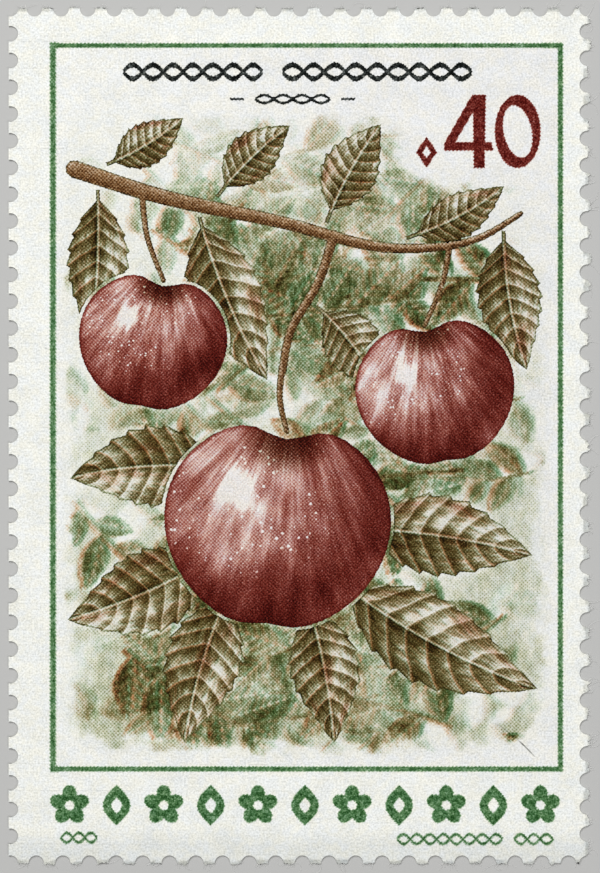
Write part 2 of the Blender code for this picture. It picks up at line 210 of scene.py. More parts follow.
class Graph:
    """A node tree and short ways to add to it."""

    def __init__(self, tree: bpy.types.NodeTree, material: bpy.types.Material | None = None) -> None:
        """Takes the tree that nodes are added to, and the material that it is in, if any."""
        self.tree = tree
        self.material = material

    def set(self, title: str, value: object) -> None:
        """Feeds one of the sockets of the material's own shader."""
        self.feed(self.tree.nodes["Principled BSDF"].inputs[title], value)

    def relief(self, height: object, strength: float) -> None:
        """Gives the material's shader a fine relief.

        Args:
            height: How high each point is.
            strength: How strong the relief is.
        """
        bump = self.add("ShaderNodeBump")
        self.feed(bump.inputs["Strength"], strength)
        self.feed(bump.inputs["Distance"], RELIEF)
        self.feed(bump.inputs["Height"], height)
        self.set("Normal", bump.outputs["Normal"])

    def add(self, kind: str, **settings: object) -> bpy.types.Node:
        """Adds a node.

        Args:
            kind: Its type.
            **settings: Its settings.

        Returns:
            The node.
        """
        node = self.tree.nodes.new(kind)
        for name, value in settings.items():
            setattr(node, name, value)
        return node

    def feed(self, socket: bpy.types.NodeSocket, value: object) -> None:
        """Links a socket, or sets it.

        Args:
            socket: The socket.
            value: The field or socket that it is linked to, or its plain value.
        """
        if isinstance(value, Field):
            value = value.socket
        if isinstance(value, bpy.types.NodeSocket):
            self.tree.links.new(value, socket)
        else:
            socket.default_value = value

    def maths(self, operation: str, *values: Number) -> Field:
        """One step of arithmetic.

        Args:
            operation: What is done.
            *values: What it is done to.

        Returns:
            The outcome.
        """
        node = self.add("ShaderNodeMath", operation=operation)
        for socket, value in zip(node.inputs, values):
            self.feed(socket, value)
        return Field(self, node.outputs[0])

    def place(self) -> tuple[Field, Field]:
        """Where a point is on the stamp.

        Returns:
            Its place across and up, in millimetres.
        """
        source = self.add("ShaderNodeTexCoord").outputs["Object"]
        node = self.add("ShaderNodeSeparateXYZ")
        self.feed(node.inputs[0], source)
        return Field(self, node.outputs["X"]) * (1 / MM), Field(self, node.outputs["Y"]) * (1 / MM)

    def drawing(self) -> tuple[Field, Field]:
        """Where a point is in its own motif, from the UV map.

        Returns:
            Its place across and up.
        """
        source = self.add("ShaderNodeUVMap", uv_map="drawing").outputs["UV"]
        node = self.add("ShaderNodeSeparateXYZ")
        self.feed(node.inputs[0], source)
        return Field(self, node.outputs["X"]), Field(self, node.outputs["Y"])

    def attribute(self, name: str) -> Field:
        """A number stored at the mesh's points."""
        return Field(self, self.add("ShaderNodeAttribute", attribute_name=name).outputs["Fac"])

    def point(self, x: Number, y: Number, z: Number = 0.0) -> bpy.types.NodeSocket:
        """A vector.

        Args:
            x: Its part across.
            y: Its part up.
            z: Its part outwards.

        Returns:
            The vector.
        """
        node = self.add("ShaderNodeCombineXYZ")
        for socket, value in zip(node.inputs, (x, y, z)):
            self.feed(socket, value)
        return node.outputs[0]

    def noise(self, x: Number, y: Number, scale: float, detail: float, z: Number) -> Field:
        """Cloudy noise at a place.

        Args:
            x: The place across.
            y: The place up.
            scale: How close-set the noise is.
            detail: How many finer sizes it has.
            z: The layer of the noise.

        Returns:
            A value from about 0 to 1.
        """
        node = self.add("ShaderNodeTexNoise", noise_dimensions="3D")
        self.feed(node.inputs["Vector"], self.point(x, y, z))
        node.inputs["Scale"].default_value = scale
        node.inputs["Detail"].default_value = detail
        return Field(self, node.outputs["Fac"])

    def scatter(self, x: Number, y: Number, scale: float, feature: str) -> Field:
        """Scattered cells.

        Args:
            x: A place across.
            y: A place up.
            scale: How close-set the cells are.
            feature: F1 for the distance to a cell's point, DISTANCE_TO_EDGE for that to its side.

        Returns:
            The distance, in cells.
        """
        node = self.add("ShaderNodeTexVoronoi", voronoi_dimensions="2D", feature=feature)
        self.feed(node.inputs["Vector"], self.point(x, y))
        node.inputs["Scale"].default_value = scale
        return Field(self, node.outputs["Distance"])

    def tint(self, blend: str, factor: Number, first: object, second: object) -> bpy.types.NodeSocket:
        """One colour over another.

        Args:
            blend: How they are blended.
            factor: How much of the second shows.
            first: The first colour, a tuple or a socket.
            second: The second, a tuple or a socket.

        Returns:
            The blended colour.
        """
        node = self.add("ShaderNodeMix", data_type="RGBA", blend_type=blend)
        self.feed(node.inputs[0], factor)
        for number, colour in ((6, first), (7, second)):
            self.feed(node.inputs[number], (*colour, 1.0) if isinstance(colour, tuple) else colour)
        return node.outputs[2]

    def call(self, group: bpy.types.NodeTree, **inputs: object) -> bpy.types.Node:
        """Places a shared group.

        Args:
            group: The group.
            **inputs: What its inputs are fed, by their names with underscores for spaces.

        Returns:
            The group's node.
        """
        node = self.add("ShaderNodeGroup", node_tree=group)
        for name, value in inputs.items():
            self.feed(node.inputs[name.replace("_", " ")], value)
        return node


class Group:
    """A shared node group as it is being built."""

    def __init__(self, name: str, inputs: Sequence[str], outputs: dict[str, str]) -> None:
        """Opens a group.

        Args:
            name: The group's name.
            inputs: Its inputs, which are all numbers.
            outputs: Its outputs, each with the kind of socket.
        """
        self.tree = bpy.data.node_groups.new(name, "ShaderNodeTree")
        for title in inputs:
            self.tree.interface.new_socket(title, in_out="INPUT", socket_type="NodeSocketFloat")
        for title, kind in outputs.items():
            self.tree.interface.new_socket(title, in_out="OUTPUT", socket_type=f"NodeSocket{kind}")
        self.graph = Graph(self.tree)
        self.entry = self.graph.add("NodeGroupInput")
        self.exit = self.graph.add("NodeGroupOutput")

    def take(self, title: str) -> Field:
        """One of the group's inputs."""
        return Field(self.graph, self.entry.outputs[title])

    def give(self, title: str, value: object) -> None:
        """Feeds one of the group's outputs."""
        self.graph.feed(self.exit.inputs[title], value)


@dataclass(frozen=True)
class Pattern:
    """A cloudy pattern that a finish is made uneven with.

    Attributes:
        across: How close-set it is across.
        up: How close-set it is up.
        scale: How close-set it is both ways.
        detail: How many finer sizes it has.
        shift: How far it is shifted across and up.
    """

    across: float = 1.0
    up: float = 1.0
    scale: float = 1.0
    detail: float = 2.0
    shift: Span = (0.0, 0.0)

    def share(self, graph: Graph, x: Field, y: Field, z: Number = 0.0) -> Field:
        """The pattern at a place.

        Args:
            graph: The tree that it is for.
            x: The place across.
            y: The place up.
            z: The layer of the pattern, which sets like pieces apart.

        Returns:
            A value from about 0 to 1.
        """
        x, y = (axis if factor == 1.0 else axis * factor for axis, factor in ((x, self.across), (y, self.up)))
        x, y = (axis + shift if shift else axis for axis, shift in zip((x, y), self.shift))
        return graph.noise(x, y, self.scale, self.detail, z)

    def swing(self, graph: Graph, x: Field, y: Field, z: Number = 0.0) -> Field:
        """The pattern at a place, from about -0.5 to 0.5."""
        return self.share(graph, x, y, z) - 0.5


@dataclass(frozen=True)
class PaperStock:
    """The stamp paper: a bright white sheet with fine fibres, faint clouding, a toned face and painted shade
    along its foot.
    """

    light: Colour = (0.985, 0.985, 0.955)
    shade: Colour = (0.560, 0.568, 0.540)
    warm: Colour = (1.000, 0.992, 0.935)
    cool: Colour = (0.962, 0.984, 1.000)
    inside: Colour = (0.940, 0.930, 0.955)
    # painted shade: the darker colour that the face takes along its foot
    painted_foot_shade: Colour = (0.870, 0.878, 0.885)
    clouds: Pattern = Pattern(scale=0.65, detail=4.0)
    grain: Pattern = Pattern(scale=9.5, detail=3.0)
    lying: Pattern = Pattern(2.2, 13.0)
    standing: Pattern = Pattern(13.0, 2.2)
    depth_weights: tuple[float, float, float] = (0.45, 1.95, 0.60)
    depth_level: float = 1.22
    first_drift: Pattern = Pattern(scale=1.1, shift=(40.0, 0.0))
    second_drift: Pattern = Pattern(scale=2.4, shift=(0.0, 40.0))
    cast_step: Ramp = (0.76, 1.24)
    framed_across: Ramp = (-13.95, 14.55, 0.10)
    framed_up: Ramp = (-18.50, 21.95, 0.10)
    toned_across: Ramp = (-14.0, 13.0, 0.35, 1.30)
    toned_up: Ramp = (-15.0, 8.0, 0.50, 1.0)
    # where the painted shade along the foot begins and where it is full
    painted_foot_shade_fade: Ramp = (-23.4, -21.8, 1.0, 0.0)
    roughness: float = 0.88
    specular: float = 0.04
    bump: float = 0.12

    def group(self) -> bpy.types.NodeTree:
        """The sheet's colour and surface height, the same wherever its paper shows.

        Returns:
            The group. Its input says how much of the printed face's tone, and of the painted shade along its
            foot, the paper has.
        """
        group = Group("paper_stock", ["Face"], {"Colour": "Color", "Height": "Float"})
        graph = group.graph
        x, y = graph.place()
        grain = self.grain.share(graph, x, y)
        fibres = self.lying.share(graph, x, y).most(self.standing.share(graph, x, y))
        cloudy, grainy, fibrous = self.depth_weights
        depth = self.clouds.share(graph, x, y) * cloudy + grain * grainy + fibres * fibrous - self.depth_level
        colour = graph.tint("MIX", depth.clamped(), self.light, self.shade)
        drift = self.first_drift.share(graph, x, y) + self.second_drift.share(graph, x, y)
        cast = graph.tint("MIX", drift.ramp(*self.cast_step), self.warm, self.cool)
        colour = graph.tint("MULTIPLY", 1.0, colour, cast)
        framed = x.within(*self.framed_across) * y.within(*self.framed_up)
        framed = framed * x.ramp(*self.toned_across) * y.ramp(*self.toned_up)
        face = group.take("Face")
        colour = graph.tint("MULTIPLY", framed * face, colour, self.inside)
        # painted shade: the face darkens towards its foot
        colour = graph.tint("MULTIPLY", y.ramp(*self.painted_foot_shade_fade) * face, colour, self.painted_foot_shade)
        group.give("Colour", colour)
        group.give("Height", grain * 0.5 + fibres * 0.5)
        return group.tree


@dataclass(frozen=True)
class HandlingMarks:
    """The marks of handling: one dark hair and two faint specks. Places are in millimetres."""

    hair_root: Span = (11.10, -16.20)
    hair_run: Span = (2.06, -1.80)
    hair_bow: float = 0.24
    hair_edge: Ramp = (0.015, 0.055, 1.0, 0.0)
    hair_appears: Ramp = (0.52, 0.70, 0.10, 0.75)
    hair_fades: Ramp = (0.84, 1.0, 1.0, 0.45)
    specks: tuple[Ramp, ...] = ((-10.63, 23.15, 0.045, 0.35), (-14.29, 4.94, 0.06, 0.28))
    speck_edge: Span = (0.4, 1.5)

    def group(self) -> bpy.types.NodeTree:
        """Where the marks are.

        Returns:
            The group, with the strength of the marks.
        """
        group = Group("handling_marks", [], {"Mask": "Float"})
        graph = group.graph
        x, y = graph.place()
        across, up = self.hair_run
        from_x, from_y = x - self.hair_root[0], y - self.hair_root[1]
        share = ((from_x * across + from_y * up) * (1 / (across**2 + up**2))).clamped()
        bow = share * (1.0 - share) * self.hair_bow
        mask = length(from_x - share * across - bow, from_y - share * up - bow).ramp(*self.hair_edge)
        mask = mask * (share.ramp(*self.hair_appears) * share.ramp(*self.hair_fades))
        for speck_x, speck_y, radius, depth in self.specks:
            near, far = (radius * edge for edge in self.speck_edge)
            mask = mask.most(length(x - speck_x, y - speck_y).ramp(near, far, depth, 0.0))
        group.give("Mask", mask)
        return group.tree


@dataclass(frozen=True)
class GravureScreen:
    """The printer's screen: cells in a square lattice at 45 degrees."""

    pitch: float = 0.15
    softness: float = 0.28
    tone_power: float = 0.40
    fullest_area: float = 0.90
    heaviest_tone: float = 1.2
    bleed: float = 0.80
    bleed_fall: float = 0.50
    bleed_floor: float = 0.6
    wander: tuple[Pattern, Pattern] = (
        Pattern(scale=0.9, detail=1.0),
        Pattern(scale=0.9, detail=1.0, shift=(30.0, 0.0)),
    )
    wander_reach: float = 0.10
    edge_pattern: Pattern = Pattern(scale=9.0, detail=1.0)
    edge_ragged: float = 0.40

    @property
    def turn(self) -> float:
        """How fast the waves of the lattice turn, in radians a millimetre."""
        return math.tau / self.pitch * math.sqrt(0.5)

    def group(self) -> bpy.types.NodeTree:
        """Breaks an even tone up into cells.

        Returns:
            The group. It turns a tone into how much ink there is at a point.
        """
        group = Group("gravure_screen", ["Tone"], {"Mask": "Float"})
        graph = group.graph
        x, y = graph.place()
        x, y = (axis + way.share(graph, x, y) * self.wander_reach for axis, way in zip((x, y), self.wander))
        lattice = ((x + y) * self.turn).cosine() * 0.25 + ((x - y) * self.turn).cosine() * 0.25 + 0.5
        lattice = lattice + self.edge_pattern.swing(graph, x, y) * self.edge_ragged
        tone = group.take("Tone").clamped(0.0, self.heaviest_tone)
        area = tone.power(self.tone_power).least(self.fullest_area)
        centre = (1.0 - area) * (1.0 + 2 * self.softness) - self.softness
        cells = lattice.ramp(centre - self.softness, centre + self.softness)
        bled = tone * (self.bleed - tone.least(self.bleed_floor) * self.bleed_fall)
        group.give("Mask", cells * (tone / area.most(0.02) - bled) + bled)
        return group.tree


SCREEN = GravureScreen()


@dataclass(frozen=True)
class InkLay:
    """How every ink lies on the paper."""

    grit_pattern: Pattern = Pattern(scale=11.0, shift=(0.0, 60.0))
    grit_strength: float = 2.1
    mark_strength: float = 2.4
    relief: float = 0.35
    sheen: float = 0.22


class PrintRoom:
    """The paper, the screen and the inks as shared groups, and what all materials need."""

    def __init__(self) -> None:
        """Builds the groups once."""
        self.stock = PaperStock()
        self.lay = InkLay()
        self.paper_group = self.stock.group()
        self.marks_group = HandlingMarks().group()
        self.screen_group = SCREEN.group()
        self.overprint_group = self.overprint()

    def overprint(self) -> bpy.types.NodeTree:
        """Prints the four inks one over the other on the paper.

        Returns:
            The group. Its inputs are the tones of the inks.
        """
        titles = [ink.name.title() for ink in Ink]
        results = {"Colour": "Color", "Covered": "Float", "Height": "Float"}
        group = Group("four_ink_overprint", titles, results)
        graph = group.graph
        paper = graph.call(self.paper_group, Face=1.0)
        marks = Field(graph, graph.call(self.marks_group).outputs["Mask"])
        taken = [marks * -self.lay.mark_strength] * 3
        covered: Number = 0.0
        for ink, title in zip(Ink, titles):
            mask = Field(graph, graph.call(self.screen_group, Tone=group.take(title)).outputs["Mask"])
            taken = [mask * -strength + before for strength, before in zip(ink.value, taken)]
            covered = mask + covered
        uneven = self.lay.grit_pattern.swing(graph, *graph.place()) * self.lay.grit_strength + 1.0
        through = graph.add("ShaderNodeCombineColor")
        for socket, exponent in zip(through.inputs, taken):
            graph.feed(socket, (exponent * uneven).exponential())
        group.give("Colour", graph.tint("MULTIPLY", 1.0, paper.outputs["Colour"], through.outputs[0]))
        group.give("Covered", covered.clamped())
        group.give("Height", Field(graph, paper.outputs["Height"]) + covered.clamped() * self.lay.relief)
        return group.tree

    def new_material(self, name: str) -> Graph:
        """The tree of a new material.

        Args:
            name: What the material is called.

        Returns:
            Its tree, with its shader.
        """
        material = bpy.data.materials.new(name)
        material.use_nodes = True
        return Graph(material.node_tree, material)

    def on_paper(self, graph: Graph, roughness: Number, height: object) -> bpy.types.Material:
        """Gives a material the surface of the paper.

        Args:
            graph: The material's tree, which has its colour.
            roughness: How dull it is.
            height: The height of its fine relief.

        Returns:
            The finished material.
        """
        graph.set("Roughness", roughness)
        graph.set("Specular IOR Level", self.stock.specular)
        graph.relief(height, self.stock.bump)
        return graph.material

    def printed(self, graph: Graph, tones: dict[Ink, Number]) -> bpy.types.Material:
        """Prints the given tones with a material.

        Args:
            graph: The material's tree.
            tones: How heavy each ink is, where it prints at all.

        Returns:
            The finished material.
        """
        inks = {ink.name.title(): tones.get(ink, 0.0) for ink in Ink}
        face = graph.call(self.overprint_group, **inks)
        graph.set("Base Color", face.outputs["Colour"])
        roughness = Field(graph, face.outputs["Covered"]) * -self.lay.sheen + self.stock.roughness
        return self.on_paper(graph, roughness, face.outputs["Height"])


@dataclass(frozen=True)
class TornPaper:
    """Bare stamp paper, greyer where a tear has thinned it."""

    thinned_cast: Colour = (0.66, 0.67, 0.665)
    marked_cast: Colour = (0.12, 0.13, 0.12)
    tear_cover: float = 1.3
    pulled_fibres: Pattern = Pattern(scale=10.0)
    pulled_step: Ramp = (0.25, 0.75, -0.35, 0.35)
    tear_edge: Ramp = (0.0, 0.2)

    def material(self, room: PrintRoom) -> bpy.types.Material:
        """Makes the material.

        Args:
            room: The print room.

        Returns:
            The material.
        """
        graph = room.new_material("stamp_paper")
        stock = graph.call(room.paper_group, Face=1.0)
        tear = graph.attribute("tear")
        pulled = self.pulled_fibres.share(graph, *graph.place()).ramp(*self.pulled_step)
        thin = (tear * self.tear_cover + pulled * tear.ramp(*self.tear_edge)).clamped()
        torn = graph.tint("MULTIPLY", thin, stock.outputs["Colour"], self.thinned_cast)
        marks = graph.call(room.marks_group).outputs["Mask"]
        graph.set("Base Color", graph.tint("MULTIPLY", marks, torn, self.marked_cast))
        return room.on_paper(graph, room.stock.roughness, stock.outputs["Height"])


@dataclass(frozen=True)
class LineInk:
    """Solid line work with the uneven lay of gravure ink and a warm fringe on its left.

    Attributes:
        name: What the material is called.
        ink: Its ink.
        tone: How heavy the ink is.
        blotch: How much the lay varies.
        key: How heavy the black under it is.
        thin_edge: The share of the tone that is left at the rim.
        swell: The power by which the tone grows from the rim.
        fine: The small blotches.
        fine_step: The values between which they go from lightest to darkest.
        broad: The big blotches, which vary half as much.
        broad_step: The same for them.
        fringe: How the fringe is laid by the way that the rim faces.
        veil: The faint ochre all over.
    """

    name: str
    ink: Ink
    tone: float
    blotch: float
    key: float = 0.0
    thin_edge: float = 0.10
    swell: float = 1.6
    fine: Pattern = Pattern(scale=4.4, detail=1.0)
    fine_step: Span = (0.34, 0.66)
    broad: Pattern = Pattern(scale=1.6, shift=(9.0, 0.0))
    broad_step: Span = (0.32, 0.68)
    fringe: Ramp = (-0.9, -0.1, 0.24, 0.0)
    veil: float = 0.02

    def material(self, room: PrintRoom) -> bpy.types.Material:
        """Makes the material.

        Args:
            room: The print room.

        Returns:
            The material.
        """
        graph = room.new_material(self.name)
        x, y = graph.place()
        half = 0.5 * self.blotch
        lay = self.fine.share(graph, x, y).ramp(*self.fine_step, -self.blotch, self.blotch)
        lay = lay + self.broad.share(graph, x, y).ramp(*self.broad_step, -half, half)
        core, facing = graph.attribute("core"), graph.attribute("facing")
        swollen = core.power(self.swell) * (1.0 - self.thin_edge) + self.thin_edge
        tones = {
            Ink.BLACK: core * self.key,
            self.ink: (lay + 1.0) * swollen * self.tone,
            Ink.OCHRE: facing.ramp(*self.fringe) * (1.0 - core) + self.veil,
        }
        return room.printed(graph, tones)


@dataclass(frozen=True)
class SoftFoliage:
    """The soft foliage behind the branch, from the tones painted at the mesh's points."""

    brush: Pattern = Pattern(4.2, 1.8, detail=3.0)
    mottle: Pattern = Pattern(1.9, 1.3, shift=(31.0, 0.0))
    brush_weight: float = 1.7
    mottle_weight: float = 1.6
    drift: Pattern = Pattern(4.0, 2.0, shift=(17.0, 0.0))
    drift_weight: float = 0.7
    edge_pattern: Pattern = Pattern(scale=0.8, detail=3.0, shift=(0.0, 23.0))
    edge_reach: float = 2.8
    edge_fade: Ramp = (0.10, 1.25)
    rim_fade: Ramp = (0.0, 0.25)
    pale_pattern: Pattern = Pattern(scale=0.7, shift=(5.0, 0.0))
    pale_step: Ramp = (0.40, 0.60, 0.30, 1.20)
    beside_reach: Span = (0.0, 0.30)
    opening_pattern: Pattern = Pattern(0.30, 0.24, shift=(0.0, 5.0))
    opening_step: Ramp = (0.36, 0.52, 0.50, 1.0)
    green_veil: float = 0.005
    ochre_veil: float = 0.004
    red_from: float = 0.50
    black_from: float = 0.70
    dark_weight: float = 0.20

    def material(self, room: PrintRoom) -> bpy.types.Material:
        """Makes the material.

        Args:
            room: The print room.

        Returns:
            The material.
        """
        graph = room.new_material("soft_foliage_print")
        x, y = graph.place()
        gap = graph.attribute("gap")
        uneven = self.edge_pattern.swing(graph, x, y) * self.edge_reach
        fade = (gap + uneven).ramp(*self.edge_fade) * gap.ramp(*self.rim_fade)
        pale = self.pale_pattern.share(graph, x, y).ramp(*self.pale_step)
        opened = self.opening_pattern.share(graph, x, y).ramp(*self.opening_step)
        fade = fade * graph.attribute("beside").ramp(*self.beside_reach, pale, 1.0) * opened
        strokes = self.brush.swing(graph, x, y) * self.brush_weight
        lift = strokes + self.mottle.swing(graph, x, y) * self.mottle_weight + 1.0
        part = self.drift.swing(graph, x, y) * self.drift_weight
        ochre = graph.attribute("ochre_tone") * (lift - part) * fade
        tones = {
            Ink.GREEN: graph.attribute("green_tone") * (lift + part) * fade + self.green_veil,
            Ink.OCHRE: ochre + self.ochre_veil,
            Ink.RED: (ochre - self.red_from) * self.dark_weight,
            Ink.BLACK: (ochre - self.black_from) * self.dark_weight,
        }
        return room.printed(graph, tones)


@dataclass(frozen=True)
class DrawnLeaf:
    """A drawn leaf: midrib, side veins and quilted blade, mint in the light and olive in the shade."""

    vein_count: float = 8.9
    first_vein: float = 0.13
    sweep_power: float = 1.25
    sweep_reach: float = 1.30
    vein_wander: Pattern = Pattern(3.0, 1.5, 1.5)
    wander_reach: float = 0.30
    vein_line: Ramp = (0.02, 0.13)
    vein_depth: float = 0.52
    rib_line: Ramp = (0.03, 0.11)
    rib_depth: float = 0.75
    quilt: Ramp = (0.0, 1.0, 0.22, -0.20)
    side_shade: Ramp = (-0.10, 0.10, 0.10, -0.12)
    gutter_shade: Ramp = (0.08, 0.60, 0.22, 0.0)
    tip_shade: Ramp = (0.0, 1.0, 0.10, -0.12)
    fine_brush: Pattern = Pattern(9.0, 5.0, 2.0, 3.0)
    broad_brush: Pattern = Pattern(2.6, 1.3, 1.4, 1.0)
    broad_weight: float = 0.80
    middle_tone: float = 0.39
    lightest_tone: float = 0.04
    pen_vein: Ramp = (0.84, 0.92, 0.035)
    pen_rib: Ramp = (0.10, 0.15, 0.02)
    pen_break: Ramp = (-0.25, 0.15, 0.15, 1.0)
    pen_end: Ramp = (0.75, 1.0, 1.0, 0.2)
    ochre_misprint: tuple[float, float, float] = (0.006, 0.03, 0.04)
    outline_shade: Ramp = (0.0, 0.13, 0.26, 0.0)
    autumn: Pattern = Pattern(2.0, 1.2, 1.6)
    autumn_ochre: Ramp = (0.42, 0.72, 0.0, 0.20)
    autumn_red: Ramp = (0.55, 0.80, 0.0, 0.12)
    veil: float = 0.012
    green_weight: float = 0.67
    ochre_power: float = 1.25
    ochre_weight: float = 1.16
    ochre_outline: float = 0.7
    red_weight: float = 0.10
    black_from: float = 0.80
    black_weight: float = 0.5
    pen_weight: float = 0.22

    def drawing(self) -> bpy.types.NodeTree:
        """The drawing of the leaf in one ink.

        Returns:
            The group. Its inputs are the shares of the leaf's length and half width, the
            distance from the midrib, and a seed. It gives the tone, and where the pen drew.
        """
        titles = ["Along", "Across", "From Rib", "Seed"]
        group = Group("leaf_drawing", titles, {"Tone": "Float", "Pen": "Float"})
        graph = group.graph
        along, across, offset, seed = (group.take(title) for title in titles)
        out, aside = across.abs(), offset.abs()
        sweep = out.power(self.sweep_power) * self.sweep_reach
        wander = self.vein_wander.swing(graph, along, across, seed) * self.wander_reach
        saw = (along * self.vein_count - sweep + wander + self.first_vein).fraction()
        vein = saw.least(1.0 - saw).ramp(*self.vein_line) * self.vein_depth + (1.0 - self.vein_depth)
        rib = aside.ramp(*self.rib_line) * self.rib_depth + (1.0 - self.rib_depth)
        form = saw.ramp(*self.quilt) + across.ramp(*self.side_shade)
        form = form + aside.ramp(*self.gutter_shade) + along.ramp(*self.tip_shade)
        brush = self.fine_brush.swing(graph, along, across, seed)
        broad = self.broad_brush.swing(graph, along, across, seed + 7.0) * self.broad_weight
        blade = form + brush + broad + self.middle_tone
        pen = saw.within(*self.pen_vein).most(aside.within(*self.pen_rib))
        group.give("Pen", pen * brush.ramp(*self.pen_break) * out.ramp(*self.pen_end))
        group.give("Tone", blade.clamped(self.lightest_tone, 1.0) * vein * rib)
        return group.tree

    def material(self, room: PrintRoom) -> bpy.types.Material:
        """Makes the material.

        Args:
            room: The print room.

        Returns:
            The material.
        """
        graph = room.new_material("drawn_leaf_print")
        along, across = graph.drawing()
        offset, seed, rim = (graph.attribute(name) for name in ("from_rib", "seed", "rim"))
        drawing = self.drawing()
        first = graph.call(drawing, Along=along, Across=across, From_Rib=offset, Seed=seed)
        moved = (place + step for place, step in zip((along, across, offset), self.ochre_misprint))
        second = graph.call(drawing, **dict(zip(("Along", "Across", "From_Rib"), moved)), Seed=seed)
        tone, under = (Field(graph, drawn.outputs["Tone"]) for drawn in (first, second))
        pen = Field(graph, first.outputs["Pen"])
        ochre = under.power(self.ochre_power) * self.ochre_weight
        edge = rim.ramp(*self.outline_shade)
        autumn = self.autumn.share(graph, along, across, seed + 4.0)
        tones = {
            Ink.GREEN: tone * self.green_weight + edge + self.veil,
            Ink.OCHRE: ochre + autumn.ramp(*self.autumn_ochre) + edge * self.ochre_outline,
            Ink.RED: autumn.ramp(*self.autumn_red) + tone * self.red_weight + self.veil,
            Ink.BLACK: (tone - self.black_from) * self.black_weight + pen * self.pen_weight,
        }
        return room.printed(graph, tones)


@dataclass(frozen=True)
class DrawnApple:
    """A drawn apple: maroon shadow, pink light, white gleam, streaks and pale specks.

    Places on it go from about -1 to 1 across and up.
    """

    light_from: tuple[float, float, float] = (-0.42, 0.46, 0.78)
    squat: float = 1.15
    hollow_up: float = 0.74
    hollow_flat: float = 0.55
    fan_below: float = 0.55
    streaks: Pattern = Pattern(9.0, 1.3, 1.6, 4.0)
    fine_streaks: Pattern = Pattern(26.0, 2.2, 1.5)
    blots: Pattern = Pattern(1.6, 1.6, 1.5, 3.0)
    hollow_shade: Ramp = (0.04, 0.34, 0.42, 0.0)
    foot_shade: Ramp = (-1.0, -0.72, 0.18, 0.0)
    bounce_light: Ramp = (0.55, 0.95, 0.0, 0.26)
    light_shade: Ramp = (0.00, 1.00, 0.86, 0.26)
    gleam_place: Span = (-0.36, 0.30)
    gleam_edge: Ramp = (0.02, 0.24, 0.30, 0.0)
    speck_size: Pattern = Pattern(scale=5.0, detail=1.0)
    speck_sizes: Ramp = (0.35, 0.65, 0.05, 0.19)
    speck_lit: Ramp = (0.30, 0.75)
    speck_patches: Pattern = Pattern(scale=2.2, detail=1.0)
    patch_edge: Ramp = (0.40, 0.58)
    outline_shade: Ramp = (0.0, 0.22, 0.28, 0.0)
    bounce_way: Span = (0.70, -0.60)
    streak_weight: float = 0.75
    fine_weight: float = 0.30
    blot_weight: float = 0.62
    gleam_streaks: float = 0.35
    gleam_blots: float = 0.30
    gleam_squat: float = 1.5
    gleam_slant: float = 0.9
    speck_scale: float = 11.0
    speck_drift: float = 0.06
    speck_core: float = 0.4
    speck_light: float = 0.55
    red_power: float = 1.35
    red_weight: float = 0.98
    palest_red: float = 0.02
    ochre_weights: tuple[float, float, float] = (0.12, 0.2, 0.5)
    fullest_ochre: float = 0.5
    black_from: float = 0.22
    black_weight: float = 0.14
    green_weight: float = 0.45

    def material(self, room: PrintRoom) -> bpy.types.Material:
        """Makes the material.

        Args:
            room: The print room.

        Returns:
            The material.
        """
        graph = room.new_material("drawn_apple_print")
        x, y = graph.drawing()
        rim, seed = graph.attribute("rim"), graph.attribute("seed")
        height = (1.0 - (x * x + y * y * self.squat)).root()
        light = sum(axis * part for axis, part in zip((x, y, height), self.light_from))
        under = y - self.hollow_up
        hollow = (x * x * self.hollow_flat + under * under).root()
        turn = graph.maths("ARCTAN2", x, self.fan_below - under)
        streak = self.streaks.swing(graph, turn, hollow, seed)
        fine = self.fine_streaks.swing(graph, turn, hollow, seed + 2.0)
        blot = self.blots.swing(graph, x, y, seed + 5.0)
        cup = hollow.ramp(*self.hollow_shade)
        bounce = (x * self.bounce_way[0] + y * self.bounce_way[1]).ramp(*self.bounce_light)
        form = light.ramp(*self.light_shade) + cup + y.ramp(*self.foot_shade) - bounce
        red = form + streak * self.streak_weight + fine * self.fine_weight + blot * self.blot_weight
        red = red - self.gleaming(x, y, streak * self.gleam_streaks + blot * self.gleam_blots)
        red = red - self.specks(graph, x, y, streak, light, seed)
        deep = red.power(self.red_power) * self.red_weight
        ochre = sum(part * weight for part, weight in zip((red, streak, cup), self.ochre_weights))
        tones = {
            Ink.RED: (deep + rim.ramp(*self.outline_shade)).clamped(self.palest_red, 1.0),
            Ink.OCHRE: ochre.clamped(0.0, self.fullest_ochre),
            Ink.BLACK: (red - self.black_from) * self.black_weight,
            Ink.GREEN: cup * self.green_weight,
        }
        return room.printed(graph, tones)

    def gleaming(self, x: Field, y: Field, uneven: Field) -> Field:
        """The white gleam, which lies aslant.

        Args:
            x: A place across.
            y: A place up.
            uneven: What makes its edge uneven.

        Returns:
            How much it lightens the place.
        """
        x, y = x - self.gleam_place[0], y - self.gleam_place[1]
        far = (x * x * self.gleam_squat + y * y + x * y * self.gleam_slant).root()
        return (far + uneven).ramp(*self.gleam_edge)

    def specks(self, graph: Graph, x: Field, y: Field, streak: Field, light: Field, seed: Field) -> Field:
        """The pale specks, in patches on the lit side.

        Args:
            graph: The material's tree.
            x: A place across.
            y: A place up.
            streak: The streaks, which the specks follow.
            light: How lit the place is.
            seed: What sets the apples apart.

        Returns:
            How much they lighten the place.
        """
        size = self.speck_size.share(graph, x, y, seed + 8.0).ramp(*self.speck_sizes)
        far = graph.scatter(x + streak * self.speck_drift, y, self.speck_scale, "F1")
        specks = far.ramp(size * self.speck_core, size, self.speck_light, 0.0)
        patches = self.speck_patches.share(graph, x, y, seed).ramp(*self.patch_edge)
        return specks * light.ramp(*self.speck_lit) * patches


